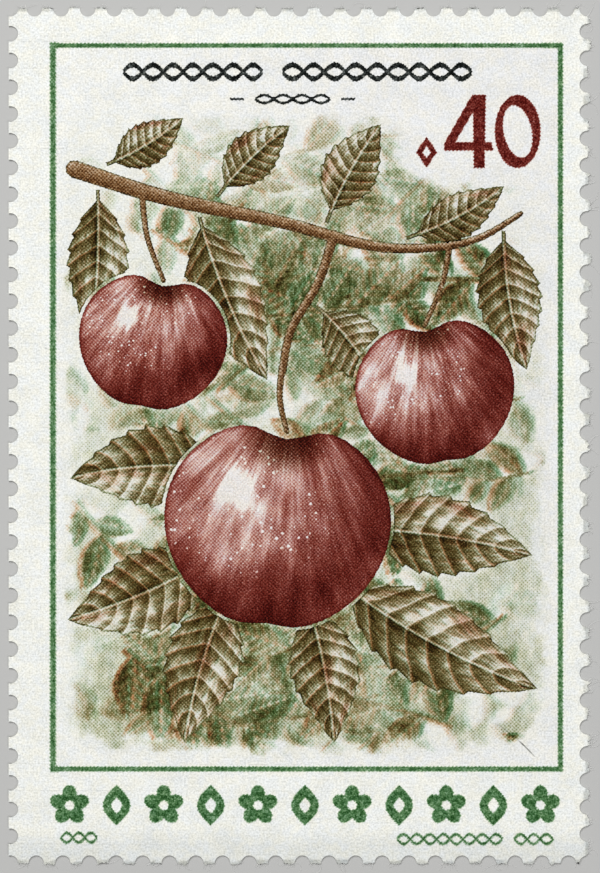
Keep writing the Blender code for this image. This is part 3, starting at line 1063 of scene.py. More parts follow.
@dataclass(frozen=True)
class DrawnBark:
    """The drawn branch: round, brown and streaked."""

    light_weight: float = 0.36
    middle_tone: float = 0.46
    grain: Pattern = Pattern(scale=2.2, detail=4.0)
    grain_across: Span = (0.9, 0.2)
    grain_up: Span = (1.0, 5.0)
    grain_weight: float = 0.8
    rings_weight: float = 0.5
    rings: Pattern = Pattern(4.0, 1.0, 1.5)
    outline_shade: Ramp = (0.0, 0.10, 0.22, 0.0)
    ochre_weight: float = 0.9
    ochre_veil: float = 0.10
    red_weight: float = 0.26
    green_weight: float = 0.44
    black_from: float = 0.65
    black_weight: float = 0.5
    black_outline: float = 0.3

    def material(self, room: PrintRoom) -> bpy.types.Material:
        """Makes the material.

        Args:
            room: The print room.

        Returns:
            The material.
        """
        graph = room.new_material("drawn_bark_print")
        x, y = graph.place()
        facing, rim = graph.attribute("facing"), graph.attribute("rim")
        along, aside = (x * way[0] + y * way[1] for way in (self.grain_across, self.grain_up))
        streak = self.grain.swing(graph, along, aside)
        rings = self.rings.swing(graph, x, y)
        tone = facing * -self.light_weight + self.middle_tone
        tone = tone + streak * self.grain_weight + rings * self.rings_weight
        edge = rim.ramp(*self.outline_shade)
        tones = {
            Ink.OCHRE: tone * self.ochre_weight + self.ochre_veil,
            Ink.RED: tone * self.red_weight,
            Ink.GREEN: tone * self.green_weight + edge,
            Ink.BLACK: (tone - self.black_from) * self.black_weight + edge * self.black_outline,
        }
        return room.printed(graph, tones)


@dataclass(frozen=True)
class DriedGum:
    """Dried gum: glossy, faintly yellow, with fine craze lines."""

    film_cast: Colour = (0.99, 0.965, 0.86)
    deep_colour: Colour = (0.78, 0.72, 0.56)
    depth_weights: Span = (0.06, 0.05)
    craze_scale: float = 0.45
    craze_wander: Pattern = Pattern(scale=0.6)
    craze_stretch: Span = (1.4, 0.6)
    craze_line: Ramp = (0.0, 0.03)
    ripple: Pattern = Pattern(scale=0.9, detail=3.0)
    gloss: Ramp = (0.3, 0.7, 0.22, 0.36)
    relief_weights: Span = (1.5, 0.25)
    relief_strength: float = 0.35

    def material(self, room: PrintRoom) -> bpy.types.Material:
        """Makes the material.

        Args:
            room: The print room.

        Returns:
            The material.
        """
        graph = room.new_material("dried_gum")
        x, y = graph.place()
        stock = graph.call(room.paper_group, Face=0.0)
        reach, flat = self.craze_stretch
        strained = x + self.craze_wander.share(graph, x, y) * reach
        line = graph.scatter(strained, y * flat, self.craze_scale, "DISTANCE_TO_EDGE").ramp(*self.craze_line)
        ripple = self.ripple.share(graph, x, y)
        depth = line * self.depth_weights[0] + ripple * self.depth_weights[1]
        colour = graph.tint("MULTIPLY", 1.0, stock.outputs["Colour"], self.film_cast)
        graph.set("Base Color", graph.tint("MIX", depth, colour, self.deep_colour))
        graph.set("Roughness", ripple.ramp(*self.gloss))
        graph.relief(ripple * self.relief_weights[0] + line * self.relief_weights[1], self.relief_strength)
        return graph.material


@dataclass(frozen=True)
class TornFibre:
    """Loose fibres, a little uneven in colour along their length."""

    colour: Colour = (0.96, 0.96, 0.94)
    darkest_share: float = 0.88
    uneven: Pattern = Pattern(scale=6.0)
    uneven_step: Ramp = (0.3, 0.7)
    roughness: float = 0.8

    def material(self, room: PrintRoom) -> bpy.types.Material:
        """Makes the material.

        Args:
            room: The print room.

        Returns:
            The material.
        """
        graph = room.new_material("torn_paper_fibre")
        share = self.uneven.share(graph, *graph.place()).ramp(*self.uneven_step)
        darker = tuple(part * self.darkest_share for part in self.colour)
        graph.set("Base Color", graph.tint("MIX", share, darker, self.colour))
        graph.set("Roughness", self.roughness)
        return graph.material


def add_object(name: str, mesh: bpy.types.Mesh, material: bpy.types.Material, slot: str) -> bpy.types.Object:
    """Puts a finished mesh in the scene, on the stamp.

    Args:
        name: The piece's name.
        mesh: Its mesh, in place.
        material: Its material.
        slot: The record's slot; not used.

    Returns:
        The piece.
    """
    mesh.materials.clear()
    mesh.materials.append(material)
    piece = bpy.data.objects.new(name, mesh)
    bpy.context.scene.collection.objects.link(piece)
    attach(piece, BODY)
    return piece


@dataclass
class Film:
    """The face of a flat CAD node, cut fine, so that it can be printed on.

    Attributes:
        node: The node whose face it takes.
        cell: The size of its cells in millimetres, or nothing where it stays whole.
        coarse_base: Whether its underside needs only a few faces.
    """

    node: str
    cell: float | None = None
    coarse_base: bool = False

    def __post_init__(self) -> None:
        """Takes the face and splits it."""
        low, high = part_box(self.node)
        self.top, self.base = high.z, low.z
        self.face = bmesh.new()
        self.face.from_mesh(FRAME["nodes"][self.node].data)
        bmesh.ops.remove_doubles(self.face, verts=self.face.verts, dist=WELD)
        walls = [face for face in self.face.faces if min(v.co.z for v in face.verts) < self.top - WELD]
        bmesh.ops.delete(self.face, geom=walls, context="FACES")
        if self.cell:
            self.cut_cells(low, high)
        self.split_rim(RIM_STEP)

    def cut_cells(self, low: Vector, high: Vector) -> None:
        """Cuts the face into square cells.

        Args:
            low: The node's lowest corner.
            high: Its highest corner.
        """
        for axis in (0, 1):
            count = max(1, round((high[axis] - low[axis]) / (self.cell * MM)))
            ahead = set(self.face.edges)
            for number in range(1, count):
                place = low[axis] + (high[axis] - low[axis]) * number / count
                ahead = self.cut(axis, place / MM, ahead)

    def cut(self, axis: int, place: float, among: Iterable[bmesh.types.BMEdge]) -> set[bmesh.types.BMEdge]:
        """Cuts the face straight through.

        Args:
            axis: 0 to cut at a place across, 1 to cut at a place up.
            place: The place in millimetres.
            among: The edges that the cut may cross.

        Returns:
            The edges that lie beyond the cut.
        """
        point, normal = Vector(), Vector()
        point[axis], normal[axis] = place * MM, 1.0
        beyond, crossed = set(), set()
        for edge in among:
            start, end = (vert.co[axis] for vert in edge.verts)
            if start > point[axis] or end > point[axis]:
                beyond.add(edge)
                if start < point[axis] or end < point[axis]:
                    crossed.update((edge, *edge.verts, *edge.link_faces))
        made = bmesh.ops.bisect_plane(
            self.face, geom=list(crossed), dist=CUT_WELD, plane_co=point, plane_no=normal
        )
        return beyond.union(part for part in made["geom"] if isinstance(part, bmesh.types.BMEdge))

    def split_rim(self, step: float) -> None:
        """Splits the rim's edges.

        Args:
            step: The longest that they may stay, in millimetres.
        """
        by_cuts: dict[int, list[bmesh.types.BMEdge]] = {}
        for edge in self.face.edges:
            cuts = math.ceil(edge.calc_length() / (step * MM)) - 1
            if edge.is_boundary and cuts > 0:
                by_cuts.setdefault(cuts, []).append(edge)
        for cuts, edges in by_cuts.items():
            bmesh.ops.subdivide_edges(self.face, edges=edges, cuts=cuts)

    def ring(self, width: float) -> None:
        """Adds a ring of faces inside the rim, and marks the rim as thin.

        Args:
            width: The ring's width in millimetres.
        """
        bmesh.ops.inset_region(
            self.face,
            faces=self.face.faces[:],
            thickness=width * MM,
            use_boundary=True,
            use_even_offset=False,
        )
        outward = self.rim_normals()
        self.mark("core", [float(vert not in outward) for vert in self.face.verts])
        self.mark("facing", [outward[vert].x if vert in outward else 0.0 for vert in self.face.verts])

    def rim_normals(self) -> dict[bmesh.types.BMVert, Vector]:
        """Which way is outwards along the rim.

        Returns:
            The direction at each of its points.
        """
        outward: dict[bmesh.types.BMVert, Vector] = {}
        for edge in self.face.edges:
            if edge.is_boundary:
                loop = edge.link_loops[0]
                along = loop.link_loop_next.vert.co - loop.vert.co
                side = Vector((along.y, -along.x, 0.0)).normalized()
                for vert in edge.verts:
                    outward[vert] = outward.get(vert, Vector()) + side
        return {vert: side.normalized() for vert, side in outward.items()}

    def serrate(self, reach: float, spread: Callable[[Vector], float]) -> None:
        """Moves the rim in and out with the cells of the screen.

        Args:
            reach: How far it moves to either side, in millimetres.
            spread: How far the ink has spread beyond the line at a place, all in millimetres.
        """
        for vert, outward in self.rim_normals().items():
            place = vert.co / MM
            ways = place.x + place.y, place.x - place.y
            wave = sum(math.cos(way * SCREEN.turn) for way in ways) / 2
            vert.co += outward * (wave * reach + spread(place)) * MM

    def mark(self, name: str, values: Iterable[float]) -> None:
        """Keeps a number at each point.

        Args:
            name: What the number is called.
            values: The number of every point.
        """
        numbers = list(values)
        layer = self.face.verts.layers.float.new(name)
        for vert, value in zip(self.face.verts, numbers):
            vert[layer] = value

    def finish(self, name: str, material: bpy.types.Material, slot: str) -> tuple[bpy.types.Object, Rim]:
        """Makes the piece: its thickness and its finish.

        Args:
            name: The piece's name.
            material: Its material.
            slot: The record's slot.

        Returns:
            The piece, and its rim.
        """
        rim = Rim.of(self.face)
        if self.coarse_base:
            edges = [edge for edge in self.face.edges if edge.is_boundary]
            drawn = bmesh.ops.extrude_edge_only(self.face, edges=edges)["geom"]
        else:
            whole = self.face.verts[:] + self.face.edges[:] + self.face.faces[:]
            drawn = bmesh.ops.extrude_face_region(self.face, geom=whole, use_keep_orig=True)["geom"]
        low = {part for part in drawn if isinstance(part, bmesh.types.BMVert)}
        for vert in low:
            vert.co.z = self.base
        if self.coarse_base:
            sides = (part for part in drawn if isinstance(part, bmesh.types.BMEdge))
            foot = [edge for edge in sides if low.issuperset(edge.verts)]
            bmesh.ops.triangle_fill(self.face, edges=foot, normal=(0.0, 0.0, -1.0))
        bmesh.ops.recalc_face_normals(self.face, faces=self.face.faces)
        mesh = bpy.data.meshes.new(name)
        self.face.to_mesh(mesh)
        self.face.free()
        piece = add_object(name, mesh, material, slot)
        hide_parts(self.node)
        return piece, rim


class Rim:
    """The outline of a flat piece, as close-set points in millimetres."""

    def __init__(self, points: np.ndarray, edges: Sequence[tuple[int, int]]) -> None:
        """Takes the outline.

        Args:
            points: Its points.
            edges: The pairs of them that are joined.
        """
        self.points = points
        self.edges = edges
        self.tree = KDTree(len(points))
        for number, (x, y) in enumerate(points):
            self.tree.insert((x, y, 0.0), number)
        self.tree.balance()

    @staticmethod
    def of(face: bmesh.types.BMesh) -> Rim:
        """The rim of an open face.

        Args:
            face: The face.

        Returns:
            Its rim.
        """
        verts = [vert for vert in face.verts if vert.is_boundary]
        order = {vert: number for number, vert in enumerate(verts)}
        edges = [(order[edge.verts[0]], order[edge.verts[1]]) for edge in face.edges if edge.is_boundary]
        return Rim(np.array([vert.co[:2] for vert in verts]) / MM, edges)

    def nearest(self, points: np.ndarray) -> tuple[np.ndarray, np.ndarray]:
        """How far places in millimetres are from the rim, and the point of it nearest to each."""
        found = [self.tree.find((x, y, 0.0)) for x, y in points]
        return np.array([gap for _, _, gap in found]), self.points[[number for _, number, _ in found]]


def mesh_points(mesh: bpy.types.Mesh) -> np.ndarray:
    """The places of a mesh's points.

    Args:
        mesh: The mesh.

    Returns:
        Their places on the stamp, in millimetres.
    """
    places = np.zeros(len(mesh.vertices) * 3)
    mesh.vertices.foreach_get("co", places)
    return places.reshape(-1, 3)[:, :2] / MM


def store(mesh: bpy.types.Mesh, name: str, values: np.ndarray | float) -> None:
    """Keeps a number at each point of a mesh."""
    layer = mesh.attributes.new(name, "FLOAT", "POINT")
    layer.data.foreach_set("value", np.full(len(mesh.vertices), values, dtype=np.float32))


def store_drawing(mesh: bpy.types.Mesh, across: np.ndarray, up: np.ndarray) -> None:
    """Keeps each point's place in its motif as a UV map.

    Args:
        mesh: The motif's mesh.
        across: The places across.
        up: The places up.
    """
    layer = mesh.uv_layers.new(name="drawing")
    corners = np.zeros(len(mesh.loops), dtype=np.int32)
    mesh.loops.foreach_get("vertex_index", corners)
    layer.data.foreach_set("uv", np.column_stack((across, up))[corners].ravel().astype(np.float32))


def smooth_step(values: np.ndarray, low: float, high: float) -> np.ndarray:
    """A smooth rise from 0 at low to 1 at high."""
    share = np.clip((values - low) / (high - low), 0.0, 1.0)
    return share * share * (3 - 2 * share)


def turned_back(points: np.ndarray, degrees: float) -> np.ndarray:
    """Turns places back by an angle."""
    cos, sin = math.cos(math.radians(degrees)), math.sin(math.radians(degrees))
    return points @ np.array([[cos, -sin], [sin, cos]])


class Motif:
    """One motif of the picture, printed on its own film."""

    def __init__(self, node: str, cell: float, material: bpy.types.Material, slot: str) -> None:
        """Prints the motif and works out where its points are.

        Args:
            node: The node that it replaces.
            cell: The size of its film's cells, in millimetres.
            material: Its material.
            slot: The record's slot.
        """
        film = Film(node, cell=cell)
        film.serrate(MOTIF_SERRATION, lambda place: MOTIF_SPREAD)
        self.piece, self.rim = film.finish(f"{node}_print", material, slot)
        self.points = mesh_points(self.piece.data)
        self.gap, self.nearest = self.rim.nearest(self.points)
        store(self.piece.data, "rim", self.gap)


@dataclass
class LineWork:
    """The ruled line, the ornaments and the value, printed solid. Lengths are in millimetres.

    Attributes:
        prints: The print room.
        plates: For each slot its ink, how far that has spread beyond the line, and how far the
            screen moves the line's rim to either side.
        ruled: The ink of the ruled line.
        rule_spread: How far it has spread on each side of the stamp.
        corner: How far out the upright sides of the ruled line begin.
        feather: How wide the thin rim of the ink is.
    """

    prints: PrintRoom
    plates: dict[str, tuple[LineInk, float, float]] = field(
        default_factory=lambda: {
            "green_ink": (LineInk("green_line_ink", Ink.GREEN, 0.78, 0.30), 0.044, 0.038),
            "black_ink": (LineInk("black_line_ink", Ink.BLACK, 0.80, 0.36), -0.014, 0.056),
            "maroon_ink": (LineInk("maroon_line_ink", Ink.RED, 0.78, 0.26, 0.045), 0.024, 0.040),
        }
    )
    ruled: LineInk = LineInk("ruled_line_ink", Ink.GREEN, 0.68, 0.30)
    rule_spread: dict[Side, float] = field(
        default_factory=lambda: {Side.LEFT: 0.078, Side.RIGHT: 0.046, Side.FOOT: 0.040, Side.HEAD: 0.020}
    )
    corner: float = 13.6
    feather: float = 0.030

    def build(self) -> Iterable[bpy.types.Object]:
        """Prints each node of line work in its ink.

        Returns:
            The pieces, one by one.
        """
        inks = {slot: ink.material(self.prints) for slot, (ink, _, _) in self.plates.items()}
        ruled = self.ruled.material(self.prints)
        for part in FRAME["record"]["subparts"]:
            node, slot = part["node"], part["material_slot"]
            if slot in self.plates:
                _, spread, reach = self.plates[slot]
                rule = node == "frame_line"
                film = Film(node)
                film.ring(self.feather)
                film.serrate(reach, self.rule_width if rule else lambda place: spread)
                yield film.finish(f"{node}_print", ruled if rule else inks[slot], slot)[0]

    def rule_width(self, place: Vector) -> float:
        """How far the ink of the ruled line has spread.

        Args:
            place: A place on the line, in millimetres.

        Returns:
            The spread there.
        """
        if abs(place.x) > self.corner:
            return self.rule_spread[Side.LEFT if place.x < 0 else Side.RIGHT]
        return self.rule_spread[Side.FOOT if place.y < 0 else Side.HEAD]


@dataclass(frozen=True)
class LeafPlace:
    """Where a leaf lies: base and size in millimetres, directions in degrees."""

    base: tuple[float, float]
    heading: float
    length: float
    width: float
    bend: float

    def drawing(self, points: np.ndarray) -> tuple[np.ndarray, np.ndarray, np.ndarray]:
        """Places on the leaf: share of its length, share of its half width, and distance from its rib.

        Args:
            points: Places on the stamp in millimetres.

        Returns:
            The three numbers for every point.
        """
        local = turned_back(points - np.array(self.base), self.heading)
        bend = math.radians(self.bend)
        radius = self.length / bend
        side = math.copysign(1.0, radius)
        along = np.arctan2(local[:, 0], np.abs(radius) - side * local[:, 1]) / abs(bend)
        offset = side * (abs(radius) - np.hypot(local[:, 0], radius - local[:, 1]))
        share = np.clip(along, 0.0, 1.0)
        half = self.width / 2 * np.sin(math.pi * share**0.8) + 0.05
        return along, np.clip(offset / half, -1.2, 1.2), offset


@dataclass
class Leaves:
    """The drawn leaves.

    Attributes:
        prints: The print room.
        places: Where each leaf lies.
        cell: The size of their films' cells, in millimetres.
        seed_step: How far one leaf's pattern is from the next one's.
    """

    prints: PrintRoom
    places: dict[str, LeafPlace] = field(
        default_factory=lambda: {
            "leaf_01": LeafPlace((-10.45, 15.45), 24, 4.6, 2.4, 16),
            "leaf_02": LeafPlace((-4.20, 14.05), 52, 5.0, 2.7, -18),
            "leaf_03": LeafPlace((1.75, 12.70), 68, 5.6, 3.1, -16),
            "leaf_04": LeafPlace((6.60, 11.35), 20, 5.6, 2.5, 18),
            "leaf_05": LeafPlace((11.45, 10.95), -88, 7.4, 3.5, 16),
            "leaf_06": LeafPlace((-11.35, 13.25), -88, 8.0, 3.3, -10),
            "leaf_07": LeafPlace((-5.50, 11.75), -74, 9.4, 4.0, 14),
            "leaf_08": LeafPlace((1.35, 6.90), -42, 5.6, 3.2, -26),
            "leaf_09": LeafPlace((-4.60, -1.80), 174, 8.4, 4.4, 20),
            "leaf_10": LeafPlace((-5.20, -7.00), 211, 8.6, 4.5, -16),
            "leaf_11": LeafPlace((-4.20, -9.20), 247, 8.4, 4.2, 14),
            "leaf_12": LeafPlace((0.60, -9.80), -74, 7.6, 3.8, -12),
            "leaf_13": LeafPlace((2.80, -8.60), -37, 12.0, 4.8, 18),
            "leaf_14": LeafPlace((3.60, -5.20), -2, 9.6, 4.4, -14),
        }
    )
    cell: float = 0.35
    seed_step: float = 0.37

    def build(self) -> Iterable[Motif]:
        """Prints each leaf with its own drawing.

        Returns:
            The leaves, one by one.
        """
        material = DrawnLeaf().material(self.prints)
        for number, (node, place) in enumerate(self.places.items()):
            leaf = Motif(node, self.cell, material, "leaf_ink")
            along, across, offset = place.drawing(leaf.points)
            store_drawing(leaf.piece.data, along, across)
            store(leaf.piece.data, "from_rib", offset)
            store(leaf.piece.data, "seed", number * self.seed_step)
            yield leaf


@dataclass
class Apples:
    """The drawn apples.

    Attributes:
        prints: The print room.
        places: Each apple's centre and radius in millimetres, and its tilt in degrees.
        cell: The size of their films' cells, in millimetres.
        seeds: The first apple's place in the patterns, and how far each next one is from it.
    """

    prints: PrintRoom
    places: dict[str, tuple[Span, float, float]] = field(
        default_factory=lambda: {
            "apple_large": ((-1.30, -5.00), 6.40, -6),
            "apple_right": ((7.60, 2.50), 4.50, 9),
            "apple_left": ((-8.30, 5.30), 4.20, -10),
        }
    )
    cell: float = 0.40
    seeds: Span = (1.0, 3.1)

    def build(self) -> Iterable[Motif]:
        """Prints each apple with its own drawing.

        Returns:
            The apples, one by one.
        """
        material = DrawnApple().material(self.prints)
        first, step = self.seeds
        for number, (node, (centre, radius, tilt)) in enumerate(self.places.items()):
            apple = Motif(node, self.cell, material, "apple_ink")
            local = turned_back((apple.points - np.array(centre)) / radius, tilt)
            store_drawing(apple.piece.data, local[:, 0], local[:, 1])
            store(apple.piece.data, "seed", first + number * step)
            yield apple


@dataclass
class Branch:
    """The drawn branch with its shoot and stalks.

    Attributes:
        prints: The print room.
        light: The way to the light, across and up.
        cell: The size of its film's cells, in millimetres.
        rounding: How far in from the rim it looks round, in millimetres.
    """

    prints: PrintRoom
    light: Span = (-0.45, 0.89)
    cell: float = 0.15
    rounding: float = 0.45

    def build(self) -> Motif:
        """Prints the branch, lit from above.

        Returns:
            The branch.
        """
        branch = Motif("branch", self.cell, DrawnBark().material(self.prints), "bark_ink")
        towards = (branch.nearest - branch.points) / np.maximum(branch.gap, 1e-6)[:, None]
        depth = np.clip(1 - branch.gap / self.rounding, 0.0, 1.0)
        store(branch.piece.data, "facing", towards @ np.array(self.light) * depth)
        return branch


@dataclass(frozen=True)
class SoftLeaf:
    """A soft leaf of the foliage behind the branch, in millimetres and radians.

    Attributes:
        x: Where its base is, across.
        y: Where its base is, up.
        heading: The way it points.
        length: Its length.
        width: Its width.
        tone: How dark it is.
        warmth: How its colour leans, from -1 for cool green to 1 for ochre.
        softness: How far its edge is spread.
    """

    x: float
    y: float
    heading: float
    length: float
    width: float
    tone: float
    warmth: float
    softness: float
    belly: float = 0.85
    point_fade: float = 0.12
    crispness: float = 0.10
    rib_width: float = 0.09
    rib_light: float = 0.9
    lit_side: Span = (0.18, 0.55)
    dark_side: Span = (0.16, 0.40)
    edge_from: float = 0.55
    vein_depth: float = 0.45
    vein_count: float = 7.0
    vein_sweep: float = 2.6
    base_shade: float = 0.25

    def paint(self, points: np.ndarray, tones: np.ndarray, lean: float) -> None:
        """Lays the leaf over what is painted already.

        Args:
            points: Places on the stamp in millimetres.
            tones: The tones of one ink there, which are changed.
            lean: 1 for the ink of warm colours and -1 for the other.
        """
        cos, sin = math.cos(self.heading), math.sin(self.heading)
        dx, dy = points[:, 0] - self.x, points[:, 1] - self.y
        near = np.nonzero(dx * dx + dy * dy < (self.length * 1.15) ** 2)[0]
        along = (dx[near] * cos + dy[near] * sin) / self.length
        offset = dy[near] * cos - dx[near] * sin
        inside = (along > 0) & (along < 1)
        near, along, offset = near[inside], along[inside], offset[inside]
        aside = np.abs(offset)
        half = self.width / 2 * np.sin(math.pi * along**self.belly)
        cover = 1 - smooth_step(aside - half, -self.softness, self.softness * 0.5)
        cover *= smooth_step(half, 0.0, self.point_fade)
        crisp = self.crispness / (self.crispness + self.softness)
        rib = np.exp(-((offset / self.rib_width) ** 2)) * self.rib_light * crisp
        edge = smooth_step(aside / np.maximum(half, 0.05), self.edge_from, 1.0) * crisp
        light, lighter = self.lit_side
        dark, darker = self.dark_side
        side = np.where(offset > 0, -light - lighter * edge, dark + darker * edge)
        swept = along * self.vein_count - aside / self.width * self.vein_sweep
        vein = self.vein_depth * crisp * np.cos(swept * math.tau)
        form = 1 + side + vein - rib + self.base_shade * (0.5 - along)
        tone = self.tone * form * (1 + lean * self.warmth)
        tones[near] = tones[near] * (1 - cover) + tone * cover


@dataclass(frozen=True)
class SoftTwig:
    """A soft twig behind the branch: its ends, sag and width in millimetres, and its tone."""

    start: Span
    end: Span
    sag: float
    width: float
    tone: float
    warmth: float = 0.25
    soft_edge: Span = (0.25, 0.65)

    def at(self, share: float) -> tuple[float, float, float]:
        """A place on the twig.

        Args:
            share: How far along it is, from 0 to 1.

        Returns:
            The place across and up, and the heading there in radians.
        """
        run = np.array(self.end) - np.array(self.start)
        across = np.array((-run[1], run[0])) / np.hypot(*run)
        place = np.array(self.start) + run * share + across * self.sag * math.sin(math.pi * share)
        slope = run + across * self.sag * math.pi * math.cos(math.pi * share)
        return place[0], place[1], math.atan2(slope[1], slope[0])

    def paint(self, points: np.ndarray, tones: np.ndarray, lean: float) -> None:
        """Lays the twig over what is painted already, warmer than a leaf.

        Args:
            points: Places on the stamp in millimetres.
            tones: The tones of one ink there, which are changed.
            lean: 1 for the ink of warm colours and -1 for the other.
        """
        run = np.array(self.end) - np.array(self.start)
        length = np.hypot(*run)
        local = points - np.array(self.start)
        along = local @ run / length**2
        near = np.nonzero((along > 0) & (along < 1))[0]
        across = local[near] @ np.array((-run[1], run[0])) / length
        gap = np.abs(across - self.sag * np.sin(math.pi * along[near]))
        near_edge, far_edge = (self.width * edge for edge in self.soft_edge)
        cover = 1 - smooth_step(gap, near_edge, far_edge)
        tones[near] = tones[near] * (1 - cover) + self.tone * (1 + self.warmth * lean) * cover


@dataclass(frozen=True)
class Layer:
    """One depth of the foliage: how many twigs, how they look, and how far up they reach."""

    twigs: int
    leaves: int
    reach: Span
    length: Span
    tone: Span
    softness: float
    twig_width: float


@dataclass
class PictureGround:
    """The pale foliage behind the branch, which fades out before the frame line.

    Lengths are in millimetres. The tones that an ink prints go with the shares, in percent, of
    the picture that are no darker.
    """

    prints: PrintRoom
    seed: int = 5
    cell: float = 0.122
    ochre_shift: Span = (-0.28, -0.06)
    left: float = -13.6
    right: float = 14.2
    bottom: float = -18.1
    top: float = 18.2
    wash: Span = (0.02, 0.16)
    shares: tuple[float, ...] = (0, 10, 25, 50, 75, 90, 95, 100)
    green_tones: tuple[float, ...] = (0.00, 0.01, 0.07, 0.18, 0.32, 0.46, 0.56, 0.78)
    ochre_tones: tuple[float, ...] = (0.00, 0.01, 0.06, 0.17, 0.33, 0.50, 0.66, 1.00)
    sky: Span = (9.5, 16.5)
    sky_light: float = 0.75
    far_leaves: int = 230
    far_length: Span = (1.4, 3.4)
    far_tone: Span = (0.0, 0.40)
    far_warmth: float = 0.24
    far_width: float = 0.52
    far_softness: float = 0.34
    faint_tone: Span = (0.0, 0.08)
    faint_share: float = 0.35
    layers: tuple[Layer, ...] = (
        Layer(26, 8, (5.0, 9.0), (1.8, 3.0), (0.12, 0.46), 0.17, 0.18),
        Layer(20, 9, (7.0, 12.0), (2.2, 3.6), (0.26, 0.66), 0.08, 0.22),
        Layer(11, 9, (7.0, 13.0), (2.4, 4.0), (0.44, 0.86), 0.04, 0.26),
    )
    twig_aim: Span = (-0.9, 0.3)
    twig_sag: Span = (-1.6, 1.6)
    twig_tone: float = 0.9
    leaf_start: Span = (0.6, 0.2)
    leaf_lean: float = 0.85
    leaf_turn: Span = (-0.3, 0.3)
    leaf_tone: Span = (-0.16, 0.16)
    least_tone: float = 0.04
    leaf_warmth: float = 0.22
    leaf_width: Span = (0.38, 0.50)

    def foliage(self) -> list[SoftLeaf | SoftTwig]:
        """Grows the foliage.

        Returns:
            Twigs and leaves, from the farthest and palest to the nearest.
        """
        draw = random.Random(self.seed)
        motifs: list[SoftLeaf | SoftTwig] = []
        for _ in range(self.far_leaves):
            place = draw.uniform(self.left, self.right), draw.uniform(self.bottom, self.top)
            length = draw.uniform(*self.far_length)
            full = draw.random() > self.faint_share
            tone = draw.uniform(*(self.far_tone if full else self.faint_tone))
            warmth = draw.gauss(0.0, self.far_warmth)
            heading = draw.uniform(0, math.tau)
            width = length * self.far_width
            motifs.append(SoftLeaf(*place, heading, length, width, tone, warmth, self.far_softness))
        for layer in self.layers:
            for number in range(layer.twigs):
                motifs += self.leafy_twig(draw, layer, (number + draw.random()) / layer.twigs)
        return motifs

    def leafy_twig(self, draw: random.Random, layer: Layer, share: float) -> list[SoftLeaf | SoftTwig]:
        """One twig with its leaves.

        Args:
            draw: The source of chance.
            layer: The depth that it is at.
            share: How far down the picture it starts.

        Returns:
            The twig and its leaves, in the order that they are painted.
        """
        start = draw.uniform(self.left, self.right), self.top + (self.bottom - self.top) * share
        aim = draw.uniform(*self.twig_aim)
        reach = draw.uniform(*layer.reach)
        across = math.copysign(reach * math.cos(aim), -start[0])
        end = start[0] + across, start[1] + reach * math.sin(aim)
        sag, tone = draw.uniform(*self.twig_sag), layer.tone[1] * self.twig_tone
        twig = SoftTwig(start, end, sag, layer.twig_width, tone)
        motifs: list[SoftLeaf | SoftTwig] = [twig]
        level = draw.uniform(*layer.tone)
        for leaf in range(layer.leaves):
            before, beyond = self.leaf_start
            x, y, heading = twig.at((leaf + before) / (layer.leaves + beyond))
            lean = (self.leaf_lean if leaf % 2 else -self.leaf_lean) + draw.uniform(*self.leaf_turn)
            length = draw.uniform(*layer.length)
            tone = max(self.least_tone, level + draw.uniform(*self.leaf_tone))
            warmth = draw.gauss(0.0, self.leaf_warmth)
            width = length * draw.uniform(*self.leaf_width)
            motifs.append(SoftLeaf(x, y, heading + lean, length, width, tone, warmth, layer.softness))
        return motifs

    def paint(self, points: np.ndarray, lean: float) -> np.ndarray:
        """The tone of one ink at places on the stamp.

        Args:
            points: The places in millimetres.
            lean: 1 for the ink of warm colours and -1 for the other.

        Returns:
            The tones.
        """
        down = np.clip((self.top - points[:, 1]) / (self.top - self.bottom), 0.0, 1.0)
        tones = self.wash[0] + (self.wash[1] - self.wash[0]) * down
        for motif in self.foliage():
            motif.paint(points, tones, lean)
        return tones

    def build(self, rims: Sequence[Rim]) -> bpy.types.Object:
        """Prints the ground.

        Args:
            rims: The outlines of what is drawn over it, which it pales beside.

        Returns:
            The piece.
        """
        film = Film("picture_ground", cell=self.cell, coarse_base=True)
        piece, rim = film.finish("picture_ground_print", SoftFoliage().material(self.prints), "tint_ink")
        points = mesh_points(piece.data)
        over = Rim(np.vstack([one.points for one in rims]), [])
        sky = 1 - self.sky_light * smooth_step(points[:, 1], *self.sky)
        green = self.paint(points, -1.0)
        ochre = self.paint(points - np.array(self.ochre_shift), 1.0)
        store(piece.data, "green_tone", self.spread_out(green, self.green_tones) * sky)
        store(piece.data, "ochre_tone", self.spread_out(ochre, self.ochre_tones) * sky)
        store(piece.data, "gap", rim.nearest(points)[0])
        store(piece.data, "beside", over.nearest(points)[0])
        return piece

    def spread_out(self, painted: np.ndarray, printed: Sequence[float]) -> np.ndarray:
        """Spreads painted tones over the range that an ink prints."""
        return np.interp(painted, np.percentile(painted, self.shares), printed)


